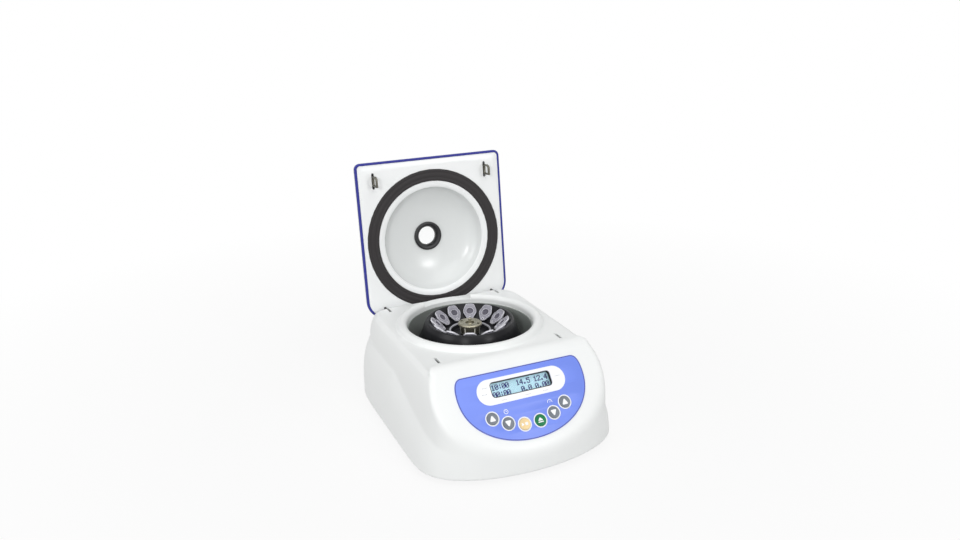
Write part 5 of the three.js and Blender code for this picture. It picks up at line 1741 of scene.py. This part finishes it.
@dataclass
class BackPanel:
    """The power inlet and the rocker switch in the back wall."""

    wall: float = 90.1
    height: float = -61.0
    inlet_x: float = 34.0
    switch_x: float = 4.0
    tilt: float = 6.0

    def place(self, x: float) -> Matrix:
        """From (right seen from the back, up, outwards) to the machine's frame."""
        return Matrix(((-1, 0, 0, x), (0, 0, 1, self.wall), (0, 1, 0, self.height), (0, 0, 0, 1)))

    def inlet(self) -> None:
        """The three-pin inlet with its flange."""
        place = self.place(self.inlet_x)
        flange = plate([box_outline(-16.5, 16.5, -13, 13, 3.0, 6)], 0, 2.0, 0.5, 3)
        body = block(-13.5, 13.5, -10, 10, -21.9, 0.2)
        outline = rounded([(-11.3, -7.8), (11.3, -7.8), (11.3, 3.6), (7.6, 7.8), (-7.6, 7.8), (-11.3, 3.6)], 1.2, 5)
        joined = carved(solid_object(flange.moved(place), "inlet_moulding"), [body.moved(place)], "UNION")
        carved(joined, [plate([outline], -12, 5).moved(place)])
        settle(joined, "base", BLACK, ["power_inlet"])
        pins = Solid()
        for x, t in ((-5, 0.0), (0, 2.5), (5, 0.0)):
            pins.add(plate([box_outline(x - 1.0, x + 1.0, t - 2.0, t + 2.0, 0.4, 3)], -12.2, 1.0, 0.3))
        lay(pins.moved(place), "inlet_pins", BRIGHT_STEEL)

    def switch(self) -> None:
        """The rocker switch: its frame and its rocker with a plain line and ring."""
        place = self.place(self.switch_x)
        bezel = plate([box_outline(-7.6, 7.6, -11.1, 11.1, 1.2), box_outline(-5.4, 5.4, -8.9, 8.9, 0.4)], 0, 1.0, 0.3)
        tub = box_outline(-6.5, 6.5, -10, 10, 0.3)
        bezel.add(plate([tub, box_outline(-5.4, 5.4, -8.9, 8.9, 0.3)], -9.8, 0.1)).add(plate([tub], -11.9, -9.8))
        lay(bezel.moved(place), "switch_bezel", BLACK, ["switch_frame"])
        high = 2.2 + 8.3 * math.tan(math.radians(self.tilt))
        side = [
            (-5.0, -4.15, 0.4), (high, -8.3, 0.6), (2.45, -4.0), (2.2, 0), (2.45, 4.0), (high, 8.3, 0.6),
            (-5.0, 4.15, 0.4),
        ]
        bar = plate([rounded(side)], -5.1, 5.1, 0.25)
        stand = Matrix(((0, 0, 1, 0), (0, 1, 0, 0), (1, 0, 0, 0), (0, 0, 0, 1)))
        tip = Matrix.Rotation(math.radians(-self.tilt), 4, "X")
        rocker = place @ Matrix.Translation((0, 0, -0.1)) @ tip
        lay(bar.moved(rocker @ stand), "switch_bar", BLACK, ["switch_rocker"], "rocker")
        line = plate([box_outline(-0.35, 0.35, -1.6, 1.6, 0.2, 2)], 0, 0.08)
        loop = plate([circle((0, 0), 1.7, 36), circle((0, 0), 1.2, 36)], 0, 0.08)
        up = rocker @ Matrix.Translation((0, 5.2, 2.62)) @ tip.inverted()
        down = rocker @ Matrix.Translation((0, -5.2, 2.62)) @ tip
        lay(line.moved(up).add(loop.moved(down)), "switch_marks", WHITE_PRINT, body="rocker")

    def build(self) -> None:
        """Builds the inlet and the switch."""
        self.inlet()
        self.switch()


def dress_hidden_works() -> None:
    """Gives the solids that stay as they are their finishes."""
    dampers = [f"motor_damper_{i}" for i in (1, 2, 3)]
    for finish, names in (
        (MOTOR_GREY, ["base_plate", "motor", "latch_solenoid"]),
        (PLATE_STEEL, ["motor_plate"]),
        (FOOT_RUBBER, dampers),
        (BRIGHT_STEEL, ["latch_bar", "hinge_pin_left", "hinge_pin_right"]),
        (LINER, ["hinge_block_left", "hinge_block_right"]),
        (BOARD, ["control_board"]),
    ):
        for name in names:
            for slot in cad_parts[name].material_slots:
                slot.material = finish.material()
            LOG.info("%s keeps its solid in %s", name, finish.name)


# Stage, lights and camera


@dataclass
class Studio:
    """A pale floor, soft lamps and the photograph's camera."""

    camera_at: tuple[float, float, float] = (-303.0, -708.3, 320.4)
    azimuth: float = -23.98
    elevation: float = 19.02
    roll: float = -1.07
    focal: float = 837.13
    photo_width: float = 960.0
    sensor: float = 36.0
    target: tuple[float, float, float] = (0.0, 0.0, 0.1)
    floor_reach: float = 6.0
    floor_grey: float = 0.7
    floor_fade: Pair = (0.25, 0.75)
    floor_seen: Pair = (0.89, 1.0)
    sky_light: float = 0.26
    sky_seen: float = 1.0

    # Each lamp's name, place and size in metres, and power in watts.
    LAMPS = (
        ("key_lamp", (-1.17, -1.61, 0.92), 0.22, 9),
        ("fill_lamp", (0.81, -1.86, 0.81), 0.22, 8),
        ("top_lamp", (0.1, 0.1, 2.0), 1.4, 10.5),
        ("side_lamp", (-2.2, -0.3, 1.2), 1.2, 17),
        ("panel_lamp", (0.1, -1.4, 1.7), 1.3, 10.5),
    )

    def set_up(self, name: str, data: bpy.types.ID) -> bpy.types.Object:
        """Puts an object of the stage in the scene.

        Args:
            name: Its name.
            data: Its mesh, lamp or camera data.

        Returns:
            The object.
        """
        thing = bpy.data.objects.new(name, data)
        bpy.context.scene.collection.objects.link(thing)
        return thing

    def floor(self) -> None:
        """The white floor, which keeps a soft shadow."""
        mesh = bpy.data.meshes.new("floor")
        far = self.floor_reach
        mesh.from_pydata([(-far, -far, 0), (far, -far, 0), (far, far, 0), (-far, far, 0)], [], [(0, 1, 2, 3)])
        paint = bpy.data.materials.new("floor_white")
        paint.use_nodes = True
        paint.node_tree.nodes.clear()
        nodes = Nodes(paint.node_tree)
        matte = nodes.first("ShaderNodeBsdfDiffuse", (*[self.floor_grey] * 3, 1))
        light = nodes.first("ShaderNodeEmission", (1, 1, 1, 1), 1.0)
        away = nodes.add("ShaderNodeVectorMath", {0: nodes.place()}, operation="LENGTH").outputs["Value"]
        pale = nodes.first("ShaderNodeMapRange", away, *self.floor_fade, *self.floor_seen)
        share = nodes.math("MULTIPLY", nodes.seen(), pale)
        nodes.add("ShaderNodeOutputMaterial", {"Surface": nodes.first("ShaderNodeMixShader", share, matte, light)})
        mesh.materials.append(paint)
        floor = self.set_up("floor", mesh)

    def sky(self) -> None:
        """A white world, seen as white and lighting the object gently."""
        world = bpy.data.worlds.new("studio")
        bpy.context.scene.world = world
        world.use_nodes = True
        nodes = Nodes(world.node_tree)
        strength = nodes.first("ShaderNodeMapRange", nodes.seen(), 0.0, 1.0, self.sky_light, self.sky_seen)
        nodes.fill(world.node_tree.nodes["Background"], {"Color": (1, 1, 1, 1), "Strength": strength})

    def lamps(self) -> None:
        """Square soft lamps that face the object."""
        for name, place, size, power in self.LAMPS:
            data = bpy.data.lights.new(name, "AREA")
            data.shape, data.size, data.energy = "SQUARE", size, power
            lamp = self.set_up(name, data)
            lamp.location = place
            lamp.rotation_euler = (Vector(self.target) - Vector(place)).to_track_quat("-Z", "Y").to_euler()

    def camera(self) -> None:
        """The camera at the photograph's place and angle."""
        az, el, roll = (math.radians(a) for a in (self.azimuth, self.elevation, self.roll))
        ahead = Vector((-math.sin(az) * math.cos(el), math.cos(az) * math.cos(el), -math.sin(el)))
        right = Vector((math.cos(az), math.sin(az), 0))
        up = right.cross(ahead)
        right, up = math.cos(roll) * right + math.sin(roll) * up, -math.sin(roll) * right + math.cos(roll) * up
        data = bpy.data.cameras.new("camera")
        data.sensor_width, data.lens = self.sensor, self.focal * self.sensor / self.photo_width
        data.clip_start, data.clip_end = 0.01, 50
        camera = self.set_up("camera", data)
        turn = Matrix((right, up, -ahead)).transposed().to_4x4()
        camera.matrix_world = Matrix.Translation(TO_ROW @ Vector(self.camera_at)) @ turn
        bpy.context.scene.camera = camera

    def build(self) -> None:
        """Sets the stage."""
        bpy.context.scene.view_settings.view_transform = "Standard"
        self.floor()
        self.sky()
        self.lamps()
        self.camera()


def main() -> None:
    """Builds the machine piece by piece."""
    logging.basicConfig(level=logging.INFO, format="%(name)s: %(message)s", stream=sys.stdout)
    for part in (Housing(), Chamber(), Rotor(), Keypad(), Lid(), Feet(), BackPanel()):
        part.build()
    dress_hidden_works()
    Studio().build()


if __name__ == "__main__":
    main()
